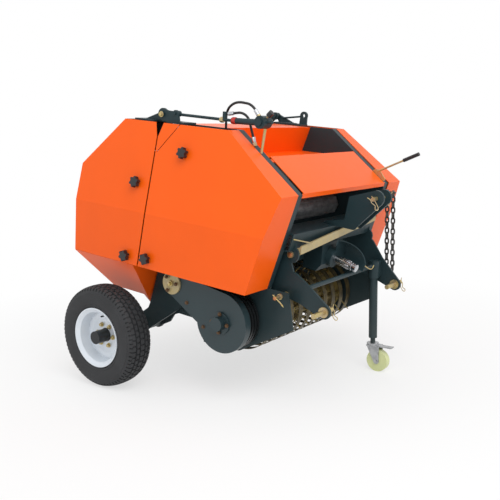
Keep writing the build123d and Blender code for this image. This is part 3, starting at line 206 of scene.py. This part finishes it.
class Nodes:
    """Node tree of a material or of the world."""

    def __init__(self, tree):
        self.tree = tree

    def plug(self, target, value):
        if isinstance(value, Value):
            value = value.socket
        if isinstance(value, bpy.types.NodeSocket):
            self.tree.links.new(value, target)
        else:
            target.default_value = value

    def add(self, kind, settings, sockets):
        node = self.tree.nodes.new(kind)
        for key, value in settings.items():
            setattr(node, key, value)
        for key, value in sockets.items():
            self.plug(node.inputs[key], value)
        return node

    def plain_rays(self):
        """1 for the rays that see the white surround plainly."""
        path = self.add("ShaderNodeLightPath", {}, {}).outputs
        return Value(self, path["Is Camera Ray"]).either(path["Is Glossy Ray"]).either(
            path["Is Transmission Ray"])


class Finish(Nodes):
    """One material and the nodes behind its principled shader."""

    def __init__(self, name, color, metallic, rough):
        self.material = bpy.data.materials.new(name)
        self.material.use_nodes = True
        super().__init__(self.material.node_tree)
        self.shader = self.tree.nodes["Principled BSDF"]
        self.set("Base Color", (*color, 1.0))
        self.set("Metallic", metallic)
        self.set("Roughness", rough)
        self.place = self.add("ShaderNodeTexCoord", {}, {}).outputs["Object"]

    def set(self, socket, value):
        self.plug(self.shader.inputs[socket], value)

    def noise(self, scale, detail=3.0, stretch=(1.0, 1.0, 1.0)):
        mapping = self.add("ShaderNodeMapping", {}, {"Vector": self.place, "Scale": stretch})
        return Value(self, self.add("ShaderNodeTexNoise", {}, {
            "Vector": mapping.outputs[0], "Scale": scale, "Detail": detail}).outputs["Fac"])

    def mix(self, factor, first, second):
        return self.add("ShaderNodeMix", {"data_type": "RGBA"}, {
            "Factor": factor, 6: first, 7: second}).outputs[2]

    def ramp(self, value, low, high):
        return Value(self, self.add("ShaderNodeMapRange", {}, {
            "Value": value, "From Min": low, "From Max": high}).outputs[0])

    def coordinate(self, axis):
        return Value(self, self.add("ShaderNodeSeparateXYZ", {}, {0: self.place}).outputs[axis])

    def vector(self, operation, first, second=(0.0, 0.0, 0.0)):
        return self.add("ShaderNodeVectorMath", {"operation": operation}, {0: first, 1: second})

    def bump(self, value, strength):
        self.set("Normal", self.add("ShaderNodeBump", {}, {
            "Height": value, "Strength": strength, "Distance": 0.001}).outputs[0])

    def mask(self, where, color):
        """Puts another colour over the finish where the mask is 1."""
        below = self.shader.inputs["Base Color"].links[0].from_socket
        self.set("Base Color", self.mix(where, below, (*color, 1.0)))


def shade(color, factor):
    """The same colour, lighter or darker."""
    return tuple(min(channel * factor, 1.0) for channel in color[:3]) + (1.0,)


def paint(name, color, rough, dust):
    """Sprayed paint: faint cloudiness, a little dust low down and a fine orange-peel skin."""
    look = Finish(name, color, 0.0, rough)
    look.set("Specular IOR Level", 0.25)
    cloudy = look.mix(look.noise(5.0), shade(color, 0.94), shade(color, 1.05))
    dusty = (1.0 - look.ramp(look.coordinate(2), 0.1, 0.55)) * look.noise(14.0) * dust
    look.set("Base Color", look.mix(dusty, cloudy, (0.30, 0.25, 0.19, 1.0)))
    look.set("Roughness", look.noise(30.0) * 0.08 + rough)
    look.bump(look.noise(900.0, 1.0), 0.05)
    return look.material


def plated(name, color, tint, rough, metallic=0.75):
    """Plated steel whose colour drifts towards a tint, with fine drawn lines."""
    look = Finish(name, color, metallic, rough)
    drift = look.ramp(look.noise(38.0, 2.0), 0.40, 0.66)
    look.set("Base Color", look.mix(drift, (*color, 1.0), (*tint, 1.0)))
    look.set("Roughness", look.noise(60.0) * 0.18 + (rough - 0.08))
    look.bump(look.noise(420.0, 2.0, (0.15, 1.0, 1.0)), 0.04)
    return look.material


def rim_silver():
    """Silver rims whose hubs are black."""
    look = Finish("Rim silver", (0.72, 0.77, 0.82), 0.25, 0.34)
    cloudy = look.noise(12.0)
    look.set("Base Color", look.mix(cloudy, (0.66, 0.71, 0.77, 1.0), (0.80, 0.85, 0.90, 1.0)))
    from_axle = look.vector("SUBTRACT", look.place, at(*AXLE)).outputs[0]
    flat = look.vector("MULTIPLY", from_axle, (0.0, 1.0, 1.0)).outputs[0]
    radius = Value(look, look.vector("LENGTH", flat).outputs["Value"])
    look.mask(radius < HUB_RADIUS, (0.014, 0.016, 0.018))
    look.bump(look.noise(300.0, 2.0), 0.05)
    return look.material


def case_paint(color):
    """Frame paint of the chain case, and black on the drum behind it."""
    look = Finish("Drive paint", color, 0.0, 0.36)
    look.set("Base Color", look.mix(look.noise(5.0), shade(color, 0.92), shade(color, 1.08)))
    look.mask(look.coordinate(0) > DRUM_FACE, (0.008, 0.009, 0.010))
    look.bump(look.noise(900.0, 1.0), 0.05)
    return look.material


def rubber(name, color, rough):
    """Matt rubber with a grainy skin and grey dust in its grain."""
    look = Finish(name, color, 0.0, rough)
    grain = look.noise(160.0, 4.0)
    look.set("Base Color", look.mix(
        look.ramp(look.noise(9.0, 5.0), 0.35, 0.8) * 0.35, (*color, 1.0), shade(color, 2.6)))
    look.set("Roughness", grain * 0.15 + rough)
    look.bump(grain, 0.25)
    return look.material


def plastic(name, color, rough):
    """Moulded plastic with a fine eroded grain."""
    look = Finish(name, color, 0.0, rough)
    look.set("Base Color", look.mix(look.noise(25.0), shade(color, 0.9), shade(color, 1.1)))
    look.bump(look.noise(700.0, 1.0), 0.12)
    return look.material


MATERIALS = {}
SLOT_FINISHES = {
    "orange": "orange", "dark_steel": "frame", "roller_steel": "roller", "zinc": "zinc",
    "bright_steel": "bright", "ram_paint": "cylinder", "rim_paint": "silver", "tyre": "tyre",
    "caster_steel": "caster", "caster_wheel": "nylon", "black_plastic": "black", "hose": "hose",
}
# the band finish is yellow zinc darkened into painted shade
NODE_FINISHES = {
    "stripper_bands": "band", "pickup_rails": "band", "pickup_reel": "tine", "lock_bar": "bar",
    "bearing_cover": "bar", "safety_chain": "chain", "chain_case": "case",
}


def paint_node(key, name):
    """Gives one finish to a frame node."""
    mesh = NODES[name].data
    mesh.materials.clear()
    mesh.materials.append(MATERIALS[key])


class BALER_OT_finishes(bpy.types.Operator):
    """Paint and metal finishes of the frame's own pieces"""

    bl_idname = "baler.finishes"
    bl_label = "Finishes"

    def execute(self, context):
        look = context.scene.baler_paint
        zinc = tuple(look.zinc)
        MATERIALS.update(
            # sprayed paint: name, colour, roughness, dust
            orange=paint("Panel orange", tuple(look.orange), look.gloss, 0.05),
            frame=paint("Frame grey", tuple(look.frame_grey), 0.36, 0.15),
            cylinder=paint("Cylinder black", (0.02, 0.02, 0.02), 0.35, 0.2),
            case=case_paint(tuple(look.frame_grey)),
            silver=rim_silver(),
            # plated steel: name, colour, tint, roughness, share of metal
            roller=plated("Roller steel", (0.26, 0.27, 0.28), (0.16, 0.165, 0.17), 0.38, 0.35),
            zinc=plated("Yellow zinc", zinc, (0.50, 0.40, 0.26), 0.34),
            bar=plated("Bar zinc", (0.50, 0.40, 0.20), (0.44, 0.37, 0.22), 0.5, 0.35),
            # stripper bands and pick-up rails: zinc darkened into painted shade, for the shadow they
            # sit in
            band=plated("Zinc in painted shade", (0.115, 0.088, 0.036), (0.05, 0.042, 0.024), 0.45, 0.6),
            tine=plated("Spring steel", (0.34, 0.26, 0.09), (0.13, 0.10, 0.05), 0.4, 0.6),
            bright=plated("Bright steel", (0.60, 0.62, 0.65), (0.45, 0.47, 0.5), 0.22, 1.0),
            rust=plated("Browned steel", (0.14, 0.075, 0.035), (0.07, 0.045, 0.03), 0.5, 0.4),
            caster=plated("Caster steel", (0.48, 0.49, 0.50), (0.36, 0.37, 0.38), 0.42, 0.7),
            chain=plated("Chain steel", (0.16, 0.15, 0.14), (0.07, 0.07, 0.07), 0.38, 0.8),
            copper=plated("Copper cap", (0.52, 0.20, 0.08), (0.36, 0.14, 0.06), 0.35, 0.6),
            # rubber and plastic: name, colour, roughness
            tyre=rubber("Tyre rubber", tuple(look.rubber), 0.62),
            hose=rubber("Hose rubber", (0.010, 0.010, 0.011), 0.45),
            black=plastic("Black plastic", (0.014, 0.014, 0.016), 0.35),
            nylon=plastic("Caster wheel nylon", (0.66, 0.70, 0.36), 0.38),
            red=plastic("Red cap", (0.45, 0.02, 0.012), 0.4),
        )
        for part in FRAME["record"]["subparts"]:
            name = part["node"]
            paint_node(NODE_FINISHES.get(name, SLOT_FINISHES[part["material_slot"]]), name)
        return {"FINISHED"}


# ---------------------------------------------------------------- modelling helpers
def pointed(place, direction):
    """Matrix at a place with its z axis along a direction, both in the world."""
    return Matrix.Translation(place) @ direction.to_track_quat("Z", "Y").to_matrix().to_4x4()


def facing(place, direction):
    """Matrix at a level place with its z axis along a level direction."""
    return pointed(at(*place), MACHINE.to_3x3() @ Vector(direction))


def settle(obj, matrix):
    """Turns and moves a new piece to its place and applies it, so that its origin is the world's."""
    bpy.ops.object.select_all(action="DESELECT")
    obj.matrix_world = matrix
    obj.select_set(True)
    bpy.context.view_layer.objects.active = obj
    bpy.ops.object.transform_apply(location=True, rotation=True, scale=True)
    return obj


def disc(radius, depth, sides, edge):
    """Round or hexagonal piece about the origin, along z, with rounded edges."""
    bpy.ops.object.select_all(action="DESELECT")
    bpy.ops.mesh.primitive_cylinder_add(vertices=sides, radius=radius, depth=depth)
    piece = bpy.context.object
    rounded = piece.modifiers.new("edge", "BEVEL")
    rounded.width = edge
    rounded.segments = 2
    rounded.limit_method = "ANGLE"
    bpy.ops.object.modifier_apply(modifier=rounded.name)
    return piece


def join(pieces):
    """Makes one object of several pieces."""
    bpy.ops.object.select_all(action="DESELECT")
    for piece in pieces:
        piece.select_set(True)
    bpy.context.view_layer.objects.active = pieces[0]
    if len(pieces) > 1:
        bpy.ops.object.join()
    return bpy.context.view_layer.objects.active


def merge(pieces, name, key, body, smooth=40.0):
    """Joins pieces into one named object with its finish, which moves with a body."""
    whole = join(pieces)
    whole.name = name
    whole.data.materials.clear()
    whole.data.materials.append(MATERIALS[key])
    bpy.ops.object.shade_smooth_by_angle(angle=math.radians(smooth))
    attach(whole, body)


def spread(pattern, matrices):
    """Copies of a small pattern piece, each with its own mesh, and the pattern goes."""
    copies = []
    for matrix in matrices:
        copy = bpy.data.objects.new("copy", pattern.data.copy())
        bpy.context.scene.collection.objects.link(copy)
        copies.append(settle(copy, matrix))
    bpy.data.objects.remove(pattern)
    return copies


def lathe(points, steps):
    """Closed ring about the x axis, turned from a closed profile of (x, radius)."""
    bpy.ops.object.select_all(action="DESELECT")
    bpy.ops.mesh.primitive_circle_add(vertices=len(points), radius=1.0)
    ring = bpy.context.object
    for vertex, (x, radius) in zip(ring.data.vertices, points):
        vertex.co = (x, 0.0, radius)
    turn = ring.modifiers.new("turn", "SCREW")
    turn.axis = "X"
    turn.steps = turn.render_steps = steps
    turn.use_merge_vertices = True
    bpy.ops.object.modifier_apply(modifier=turn.name)
    bpy.ops.object.mode_set(mode="EDIT")
    bpy.ops.mesh.select_all(action="SELECT")
    bpy.ops.mesh.remove_doubles(threshold=0.00002)
    bpy.ops.mesh.normals_make_consistent(inside=False)
    bpy.ops.object.mode_set(mode="OBJECT")
    return ring


def wire(points, radius):
    """Bent round wire along points in the world, as a mesh."""
    line = bpy.data.curves.new("wire", "CURVE")
    line.dimensions = "3D"
    line.bevel_depth = radius
    line.bevel_resolution = 2
    line.resolution_u = 6
    line.use_fill_caps = True
    spline = line.splines.new("NURBS")
    spline.points.add(len(points) - 1)
    for slot, point in zip(spline.points, points):
        slot.co = (*point, 1.0)
    spline.order_u = 3
    spline.use_endpoint_u = True
    obj = bpy.data.objects.new("wire", line)
    bpy.context.scene.collection.objects.link(obj)
    bpy.ops.object.select_all(action="DESELECT")
    obj.select_set(True)
    bpy.context.view_layer.objects.active = obj
    bpy.ops.object.convert(target="MESH")
    return bpy.context.object


def bolt(head, thick):
    """Hexagon head on its washer, standing on z = 0."""
    washer_thick = head * 0.25
    raised = Matrix.Translation((0, 0, thick * 0.5 + head * 0.2))
    seated = Matrix.Translation((0, 0, washer_thick / 2))
    return join([
        settle(disc(head, thick, HEX, head * 0.12), raised),
        settle(disc(head * 1.35, washer_thick, 24, head * 0.05), seated),
    ])


def ring(middle, radius, count, start=0.0):
    """Level places round a circle whose axis runs across the machine."""
    turns = [math.tau / count * k + start for k in range(count)]
    return [(middle.x, middle.y + radius * math.cos(t), middle.z + radius * math.sin(t)) for t in turns]


def sleeve(start, end, radius, sides=20):
    """Short round or hexagonal sleeve between two level points."""
    start, end = at(*start), at(*end)
    run = end - start
    return settle(disc(radius, run.length, sides, radius * 0.15), pointed((start + end) / 2, run))


# ---------------------------------------------------------------- tyres
def tyre_profile():
    """Closed section of the tyre as (distance from the middle, radius), with two grooves a side."""
    tread = [
        (0.004, 0.2460), (0.011, 0.2458), (0.0125, 0.2385), (0.0175, 0.2385), (0.019, 0.2455),
        (0.033, 0.2440), (0.0345, 0.2370), (0.0395, 0.2370), (0.041, 0.2425), (0.056, 0.2380),
    ]
    wall = [
        (0.061, 0.2350), (0.0655, 0.2260), (0.0700, 0.2150), (0.0722, 0.2140), (0.0735, 0.2040),
        (0.0750, 0.1900), (0.0738, 0.1740), (0.0705, 0.1600), (0.0716, 0.1590), (0.0700, 0.1540),
        (0.0660, 0.1490), (0.0610, 0.1440), (0.0560, 0.1330), (0.0520, 0.1290),
    ]
    inside = [(0.040, 0.1290), (0.050, 0.1600), (0.058, 0.1950), (0.045, 0.2230), (0.020, 0.2290)]
    half = tread + wall + inside
    return half + [(-x, radius) for x, radius in reversed(half)]


def is_sipe(face):
    """Tells the faces of ribs and shoulders that are cut, by their place round the wheel."""
    radius = math.hypot(face.center.y, face.center.z)
    aside = abs(face.center.x)
    outward = (face.normal.y * face.center.y + face.normal.z * face.center.z) / radius
    step = round(math.atan2(face.center.y, face.center.z) / math.tau * TYRE_STEPS - 0.5)
    stagger = 2 if MIDDLE_RIB <= aside < SECOND_RIB else 0
    on_rib = outward > 0.9 and radius > TREAD_FLOOR and (step + stagger) % 4 == 0
    low, high = SHOULDER_RADII
    on_shoulder = low < radius < high and aside > SHOULDER_INSIDE and step % 3 == 0
    return on_rib or on_shoulder


def add_tyre(side_name, sign):
    """Treaded tyre in place of the plain one."""
    tyre = lathe(tyre_profile(), TYRE_STEPS)
    bpy.ops.object.mode_set(mode="EDIT")
    bpy.ops.mesh.select_all(action="DESELECT")
    bpy.ops.mesh.select_mode(type="FACE")
    bpy.ops.object.mode_set(mode="OBJECT")
    for face in tyre.data.polygons:
        face.select = is_sipe(face)
    bpy.ops.object.mode_set(mode="EDIT")
    bpy.ops.mesh.extrude_region_shrink_fatten(TRANSFORM_OT_shrink_fatten={"value": -SIPE_DEPTH})
    bpy.ops.object.mode_set(mode="OBJECT")
    settle(tyre, Matrix.Translation(at(sign * TYRE_MIDDLE, AXLE.y, AXLE.z)))
    merge([tyre], f"tyre_tread_{side_name}", "tyre", f"wheel_{side_name}", smooth=30.0)
    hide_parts(f"tyre_{side_name}")


class BALER_OT_tyres(bpy.types.Operator):
    """Tyres with ribs, grooves and sipes"""

    bl_idname = "baler.tyres"
    bl_label = "Tyres"

    def execute(self, context):
        for side_name, sign in SIDES:
            add_tyre(side_name, sign)
        return {"FINISHED"}


class BALER_OT_wheel_fittings(bpy.types.Operator):
    """Wheel nuts, hub caps and valves"""

    bl_idname = "baler.wheel_fittings"
    bl_label = "Wheel fittings"

    def execute(self, context):
        for side_name, sign in SIDES:
            low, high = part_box(f"rim_{side_name}")
            outer = max(abs(low[0]), abs(high[0]))
            face = sign * (outer - RIM_RECESS)
            out = (sign, 0.0, 0.0)
            wheel = f"wheel_{side_name}"
            places = ring(Vector((face, AXLE.y, AXLE.z)), WHEEL_NUT_RING, WHEEL_NUTS)
            nuts = spread(bolt(head=0.0085, thick=0.010), [facing(place, out) for place in places])
            merge(nuts, f"wheel_nuts_{side_name}", "zinc", wheel)
            cap = disc(radius=0.031, depth=0.014, sides=40, edge=0.005)
            settle(cap, facing((face + sign * CAP_REACH, AXLE.y, AXLE.z), out))
            merge([cap], f"hub_cap_{side_name}", "black", wheel)
            valve = disc(radius=0.004, depth=0.034, sides=14, edge=0.001)
            settle(valve, facing((face + sign * VALVE_REACH, AXLE.y, AXLE.z + VALVE_RING), out))
            merge([valve], f"valve_{side_name}", "black", wheel)
        return {"FINISHED"}


# ---------------------------------------------------------------- pick-up
class BALER_OT_tine_coils(bpy.types.Operator):
    """Spring coils of the tines on their four bars"""

    bl_idname = "baler.tine_coils"
    bl_label = "Tine coils"

    def execute(self, context):
        bpy.ops.object.select_all(action="DESELECT")
        bpy.ops.mesh.primitive_torus_add(
            major_radius=COIL_RADIUS, minor_radius=COIL_WIRE, major_segments=18, minor_segments=6)
        coil = settle(context.object, Matrix.Rotation(math.pi / 2, 4, "Y"))
        places = []
        for _, y, z in ring(REEL, BAR_RING, BARS, math.radians(REEL_TURN)):
            for tine in range(TINES):
                x = TINE_PITCH * (tine - (TINES - 1) / 2) + COIL_SHIFT
                for wind in COIL_TURNS:
                    places.append(MACHINE @ Matrix.Translation((x + COIL_PITCH * wind, y, z)))
        merge(spread(coil, places), "tine_coils", "tine", "pickup_reel", smooth=60.0)
        return {"FINISHED"}


# ---------------------------------------------------------------- pins and clips
CLIP_SHAPE = (      # along the straight leg, across towards the bowed leg
    (-0.016, 0.0), (0.0, 0.0), (0.020, 0.0), (0.034, 0.001), (0.046, 0.004), (0.052, 0.012),
    (0.046, 0.020), (0.037, 0.016), (0.030, 0.009), (0.019, 0.013), (0.010, 0.017), (0.001, 0.014),
    (-0.008, 0.0145), (-0.018, 0.021),
)
CLIPS = (           # name, place on the pin, direction of the straight leg, side of the bowed leg
    ("lower_right", (-0.291, -1.003, 0.543), (0.0, -0.45, -0.89), (0.80, -0.5, 0.25)),
    ("lower_left", (0.391, -1.003, 0.543), (0.0, -0.45, -0.89), (0.80, -0.5, 0.25)),
    ("top_right", (-0.068, -1.040, 1.008), (0.25, -0.55, -0.80), (-0.70, 0.55, -0.45)),
    ("top_left", (0.082, -1.040, 1.008), (0.30, 0.20, -0.93), (0.90, -0.2, 0.25)),
    ("locking_pin", (-0.427, -0.810, 0.578), (0.15, -0.75, -0.64), (-0.80, -0.35, 0.2)),
)
LOCK_ROD = ((-0.372, -0.838, 0.832), (-0.330, -0.860, 0.822), (-0.262, -0.8685, 0.806))
SPRING_HOOK = (
    (0.16, -0.905, 0.652), (0.165, -0.93, 0.640), (0.19, -0.935, 0.628), (0.215, -0.935, 0.630),
    (0.222, -0.935, 0.645),
)


def add_wire(name, points, radius):
    """Zinc-plated wire through level points, on the frame."""
    merge([wire([at(*point) for point in points], radius)], name, "zinc", "frame", smooth=60.0)


class BALER_OT_pin_clips(bpy.types.Operator):
    """Spring clips, copper caps, the rod by the lock bar and the hook"""

    bl_idname = "baler.pin_clips"
    bl_label = "Pin clips"

    def execute(self, context):
        for name, place, run, rise in CLIPS:
            place, run, rise = Vector(place), Vector(run), Vector(rise)
            add_wire(f"clip_{name}", [place + run * u + rise * v for u, v in CLIP_SHAPE], CLIP_WIRE)
        caps = [
            settle(disc(radius, depth=0.006, sides=24, edge=0.002), facing(pin, RIGHT))
            for radius, pin in ((0.0105, EAR_PIN), (0.0085, LOCKING_PIN))
        ]
        merge(caps, "pin_caps", "copper", "frame")
        add_wire("lock_rod", LOCK_ROD, radius=0.003)
        add_wire("spring_hook", SPRING_HOOK, radius=0.0025)
        return {"FINISHED"}


# ---------------------------------------------------------------- bolts
def add_bolts(name, places, head, thick, key="zinc"):
    """One joined set of frame bolts at level places, each with the direction that it faces."""
    bolts = spread(bolt(head, thick), [facing(place, out) for place, out in places])
    merge(bolts, name, key, "frame")


class BALER_OT_bolts(bpy.types.Operator):
    """Bolts of the chain case, bearing cover, hitch plates and hinge lugs"""

    bl_idname = "baler.bolts"
    bl_label = "Bolts"

    def execute(self, context):
        places = ring(Vector((CASE_FACE, REEL.y, REEL.z)), radius=0.042, count=4)
        places += [(CASE_EDGE, -0.392, 0.478), (CASE_EDGE, -0.496, 0.390)]
        places += ring(COVER, radius=0.036, count=3, start=0.9)
        facing_right = [(place, RIGHT) for place in places]
        add_bolts("case_bolts", facing_right, head=0.0070, thick=0.007, key="rust")
        add_bolts("cover_nut", [(COVER, RIGHT)], head=0.0105, thick=0.010)
        plates, lugs = [], []
        for (_, sign), out in zip(SIDES, (RIGHT, LEFT)):
            lugs.append(((sign * LUG_BOLT.x, LUG_BOLT.y, LUG_BOLT.z), out))
            for y, z in ((-0.690, 0.660), (-0.690, 0.750), (-0.700, 0.600), (-0.640, 0.590)):
                plates.append(((sign * HITCH_FACE, y, z), out))
        add_bolts("plate_bolts", plates, head=0.008, thick=0.007)
        add_bolts("hinge_bolts", lugs, head=0.010, thick=0.008)
        return {"FINISHED"}


# ---------------------------------------------------------------- drive shaft and hoses
class BALER_OT_drive(bpy.types.Operator):
    """Splines of the input shaft"""

    bl_idname = "baler.drive"
    bl_label = "Input shaft"

    def execute(self, context):
        run = Vector((0.0, -math.cos(PTO_SLOPE), -math.sin(PTO_SLOPE)))
        up = Vector((0.0, -math.sin(PTO_SLOPE), math.cos(PTO_SLOPE)))
        back, front = SPLINE_ENDS
        middle = PTO_TIP - run * (back + front) / 2
        splines = []
        for turn in (math.tau / SPLINES * k for k in range(SPLINES)):
            out = Vector(LEFT) * math.cos(turn) + up * math.sin(turn)
            spline = disc(radius=0.0034, depth=back - front, sides=8, edge=0.0008)
            splines.append(settle(spline, facing(middle + out * SPLINE_RING, run)))
        merge(splines, "shaft_splines", "bright", "pto_shaft")
        return {"FINISHED"}


class BALER_OT_hose_ends(bpy.types.Operator):
    """Crimped sleeves and nuts of the hoses, and the red cap on the linkage"""

    bl_idname = "baler.hose_ends"
    bl_label = "Hose ends"

    def execute(self, context):
        x = LINKAGE_X
        valve_end, low_end = (x, -0.6602, 1.3369), (-0.4135, -0.630, 1.2200)
        ends = [
            sleeve(valve_end, (x, -0.6435, 1.3565), SLEEVE_RADIUS),
            sleeve((-0.4365, -0.500, 1.3295), (-0.4315, -0.526, 1.3342), SLEEVE_RADIUS),
            sleeve(low_end, (-0.4145, -0.6235, 1.2425), SLEEVE_RADIUS),
        ]
        merge(ends, "hose_sleeves", "bright", "frame")
        nuts = [
            sleeve((x, -0.6655, 1.3307), valve_end, radius=0.0105, sides=HEX),
            sleeve((-0.4122, -0.6352, 1.2045), low_end, radius=0.0100, sides=HEX),
            sleeve((-0.380, -0.684, 1.309), (-0.4055, -0.684, 1.309), radius=0.0150, sides=HEX),
            sleeve((x, -0.480, 1.3025), (x, -0.462, 1.3022), radius=0.0130, sides=HEX),
        ]
        merge(nuts, "hose_nuts", "zinc", "frame")
        cap = sleeve((x, -0.528, 1.3035), (x, -0.548, 1.3040), radius=0.0150)
        merge([cap], "red_cap", "red", "frame")
        return {"FINISHED"}


# ---------------------------------------------------------------- floor, light and camera
def add_floor(glow_share):
    """Pale matt floor that fades to white far from the baler and keeps its shadow."""
    bpy.ops.object.select_all(action="DESELECT")
    bpy.ops.mesh.primitive_plane_add(size=60.0, location=(0.0, 0.0, 0.0))
    floor = bpy.context.object
    floor.name = "floor"
    pale = Finish("Pale floor", (0.88, 0.88, 0.88), 0.0, 0.9)
    glow = pale.add("ShaderNodeEmission", {}, {"Color": (1.0, 1.0, 1.0, 1.0), "Strength": 1.0})
    reach = Value(pale, pale.vector("LENGTH", pale.place).outputs["Value"])
    fade_start, fade_end = 0.8, 2.6
    share = pale.ramp(reach, fade_start, fade_end) * (1.0 - glow_share) + glow_share
    blend = pale.add("ShaderNodeMixShader", {}, {
        0: pale.plain_rays() * share, 1: pale.shader.outputs[0], 2: glow.outputs[0]})
    pale.plug(pale.tree.nodes["Material Output"].inputs[0], blend.outputs[0])
    floor.data.materials.append(pale.material)


def add_world(strength):
    """White surround: plain where it is seen, and weaker as a light on the baler."""
    world = bpy.data.worlds.new("Studio world")
    bpy.context.scene.world = world
    world.use_nodes = True
    sky = Nodes(world.node_tree)
    surround = sky.tree.nodes["Background"].inputs
    sky.plug(surround["Color"], (1.0, 1.0, 1.0, 1.0))
    sky.plug(surround["Strength"], sky.plain_rays() * (1.0 - strength) + strength)


def add_lamp(power):
    """Large soft light above the front right corner."""
    bpy.ops.object.light_add(type="AREA", location=(-2.0, -2.5, 4.0))
    lamp = bpy.context.object
    lamp.name = "key"
    lamp.data.energy = power
    lamp.data.size = 3.0
    aim = Vector((0, 0, 0.6)) - lamp.location
    lamp.rotation_euler = aim.to_track_quat("-Z", "Y").to_euler()


def add_camera(lens):
    """Camera at the front right of the baler, a little above it."""
    view = bpy.data.cameras.new("camera")
    camera = bpy.data.objects.new("camera", view)
    bpy.context.scene.collection.objects.link(camera)
    bpy.context.scene.camera = camera
    view.lens = lens
    view.sensor_width = 36.0
    view.sensor_fit = "AUTO"
    view.shift_y = CAMERA_SHIFT
    turn = Matrix.Rotation(CAMERA_AZIMUTH, 4, "Z") @ Matrix.Rotation(math.pi / 2 - CAMERA_RISE, 4, "X")
    roll = Matrix.Rotation(CAMERA_ROLL, 4, "Z")
    camera.matrix_world = Matrix.Translation(CAMERA_PLACE + PARKED) @ turn @ roll


class BALER_OT_studio(bpy.types.Operator):
    """Floor, light and camera"""

    bl_idname = "baler.studio"
    bl_label = "Studio"

    def execute(self, context):
        studio = context.scene.baler_studio
        add_floor(studio.floor_glow)
        add_world(studio.sky)
        add_lamp(studio.key_power)
        add_camera(studio.lens)
        context.scene.view_settings.view_transform = "Standard"
        return {"FINISHED"}


class BALER_PT_panel(bpy.types.Panel):
    """Lists the steps that dress the baler"""

    bl_label = "Round Baler"
    bl_idname = "BALER_PT_panel"
    bl_space_type = "VIEW_3D"
    bl_region_type = "UI"
    bl_category = "Round Baler"

    def draw(self, context):
        for step in STEPS:
            self.layout.operator(step.bl_idname)


STEPS = (
    BALER_OT_finishes, BALER_OT_tyres, BALER_OT_wheel_fittings, BALER_OT_tine_coils, BALER_OT_pin_clips,
    BALER_OT_bolts, BALER_OT_drive, BALER_OT_hose_ends, BALER_OT_studio,
)
CLASSES = (BalerPaint, BalerStudio, *STEPS, BALER_PT_panel)


def register():
    for cls in CLASSES:
        bpy.utils.register_class(cls)
    bpy.types.Scene.baler_paint = PointerProperty(type=BalerPaint)
    bpy.types.Scene.baler_studio = PointerProperty(type=BalerStudio)


def unregister():
    del bpy.types.Scene.baler_paint
    del bpy.types.Scene.baler_studio
    for cls in reversed(CLASSES):
        bpy.utils.unregister_class(cls)


def main():
    register()
    for step in STEPS:
        getattr(bpy.ops.baler, step.bl_idname.split(".")[1])()


if __name__ == "__main__":
    main()
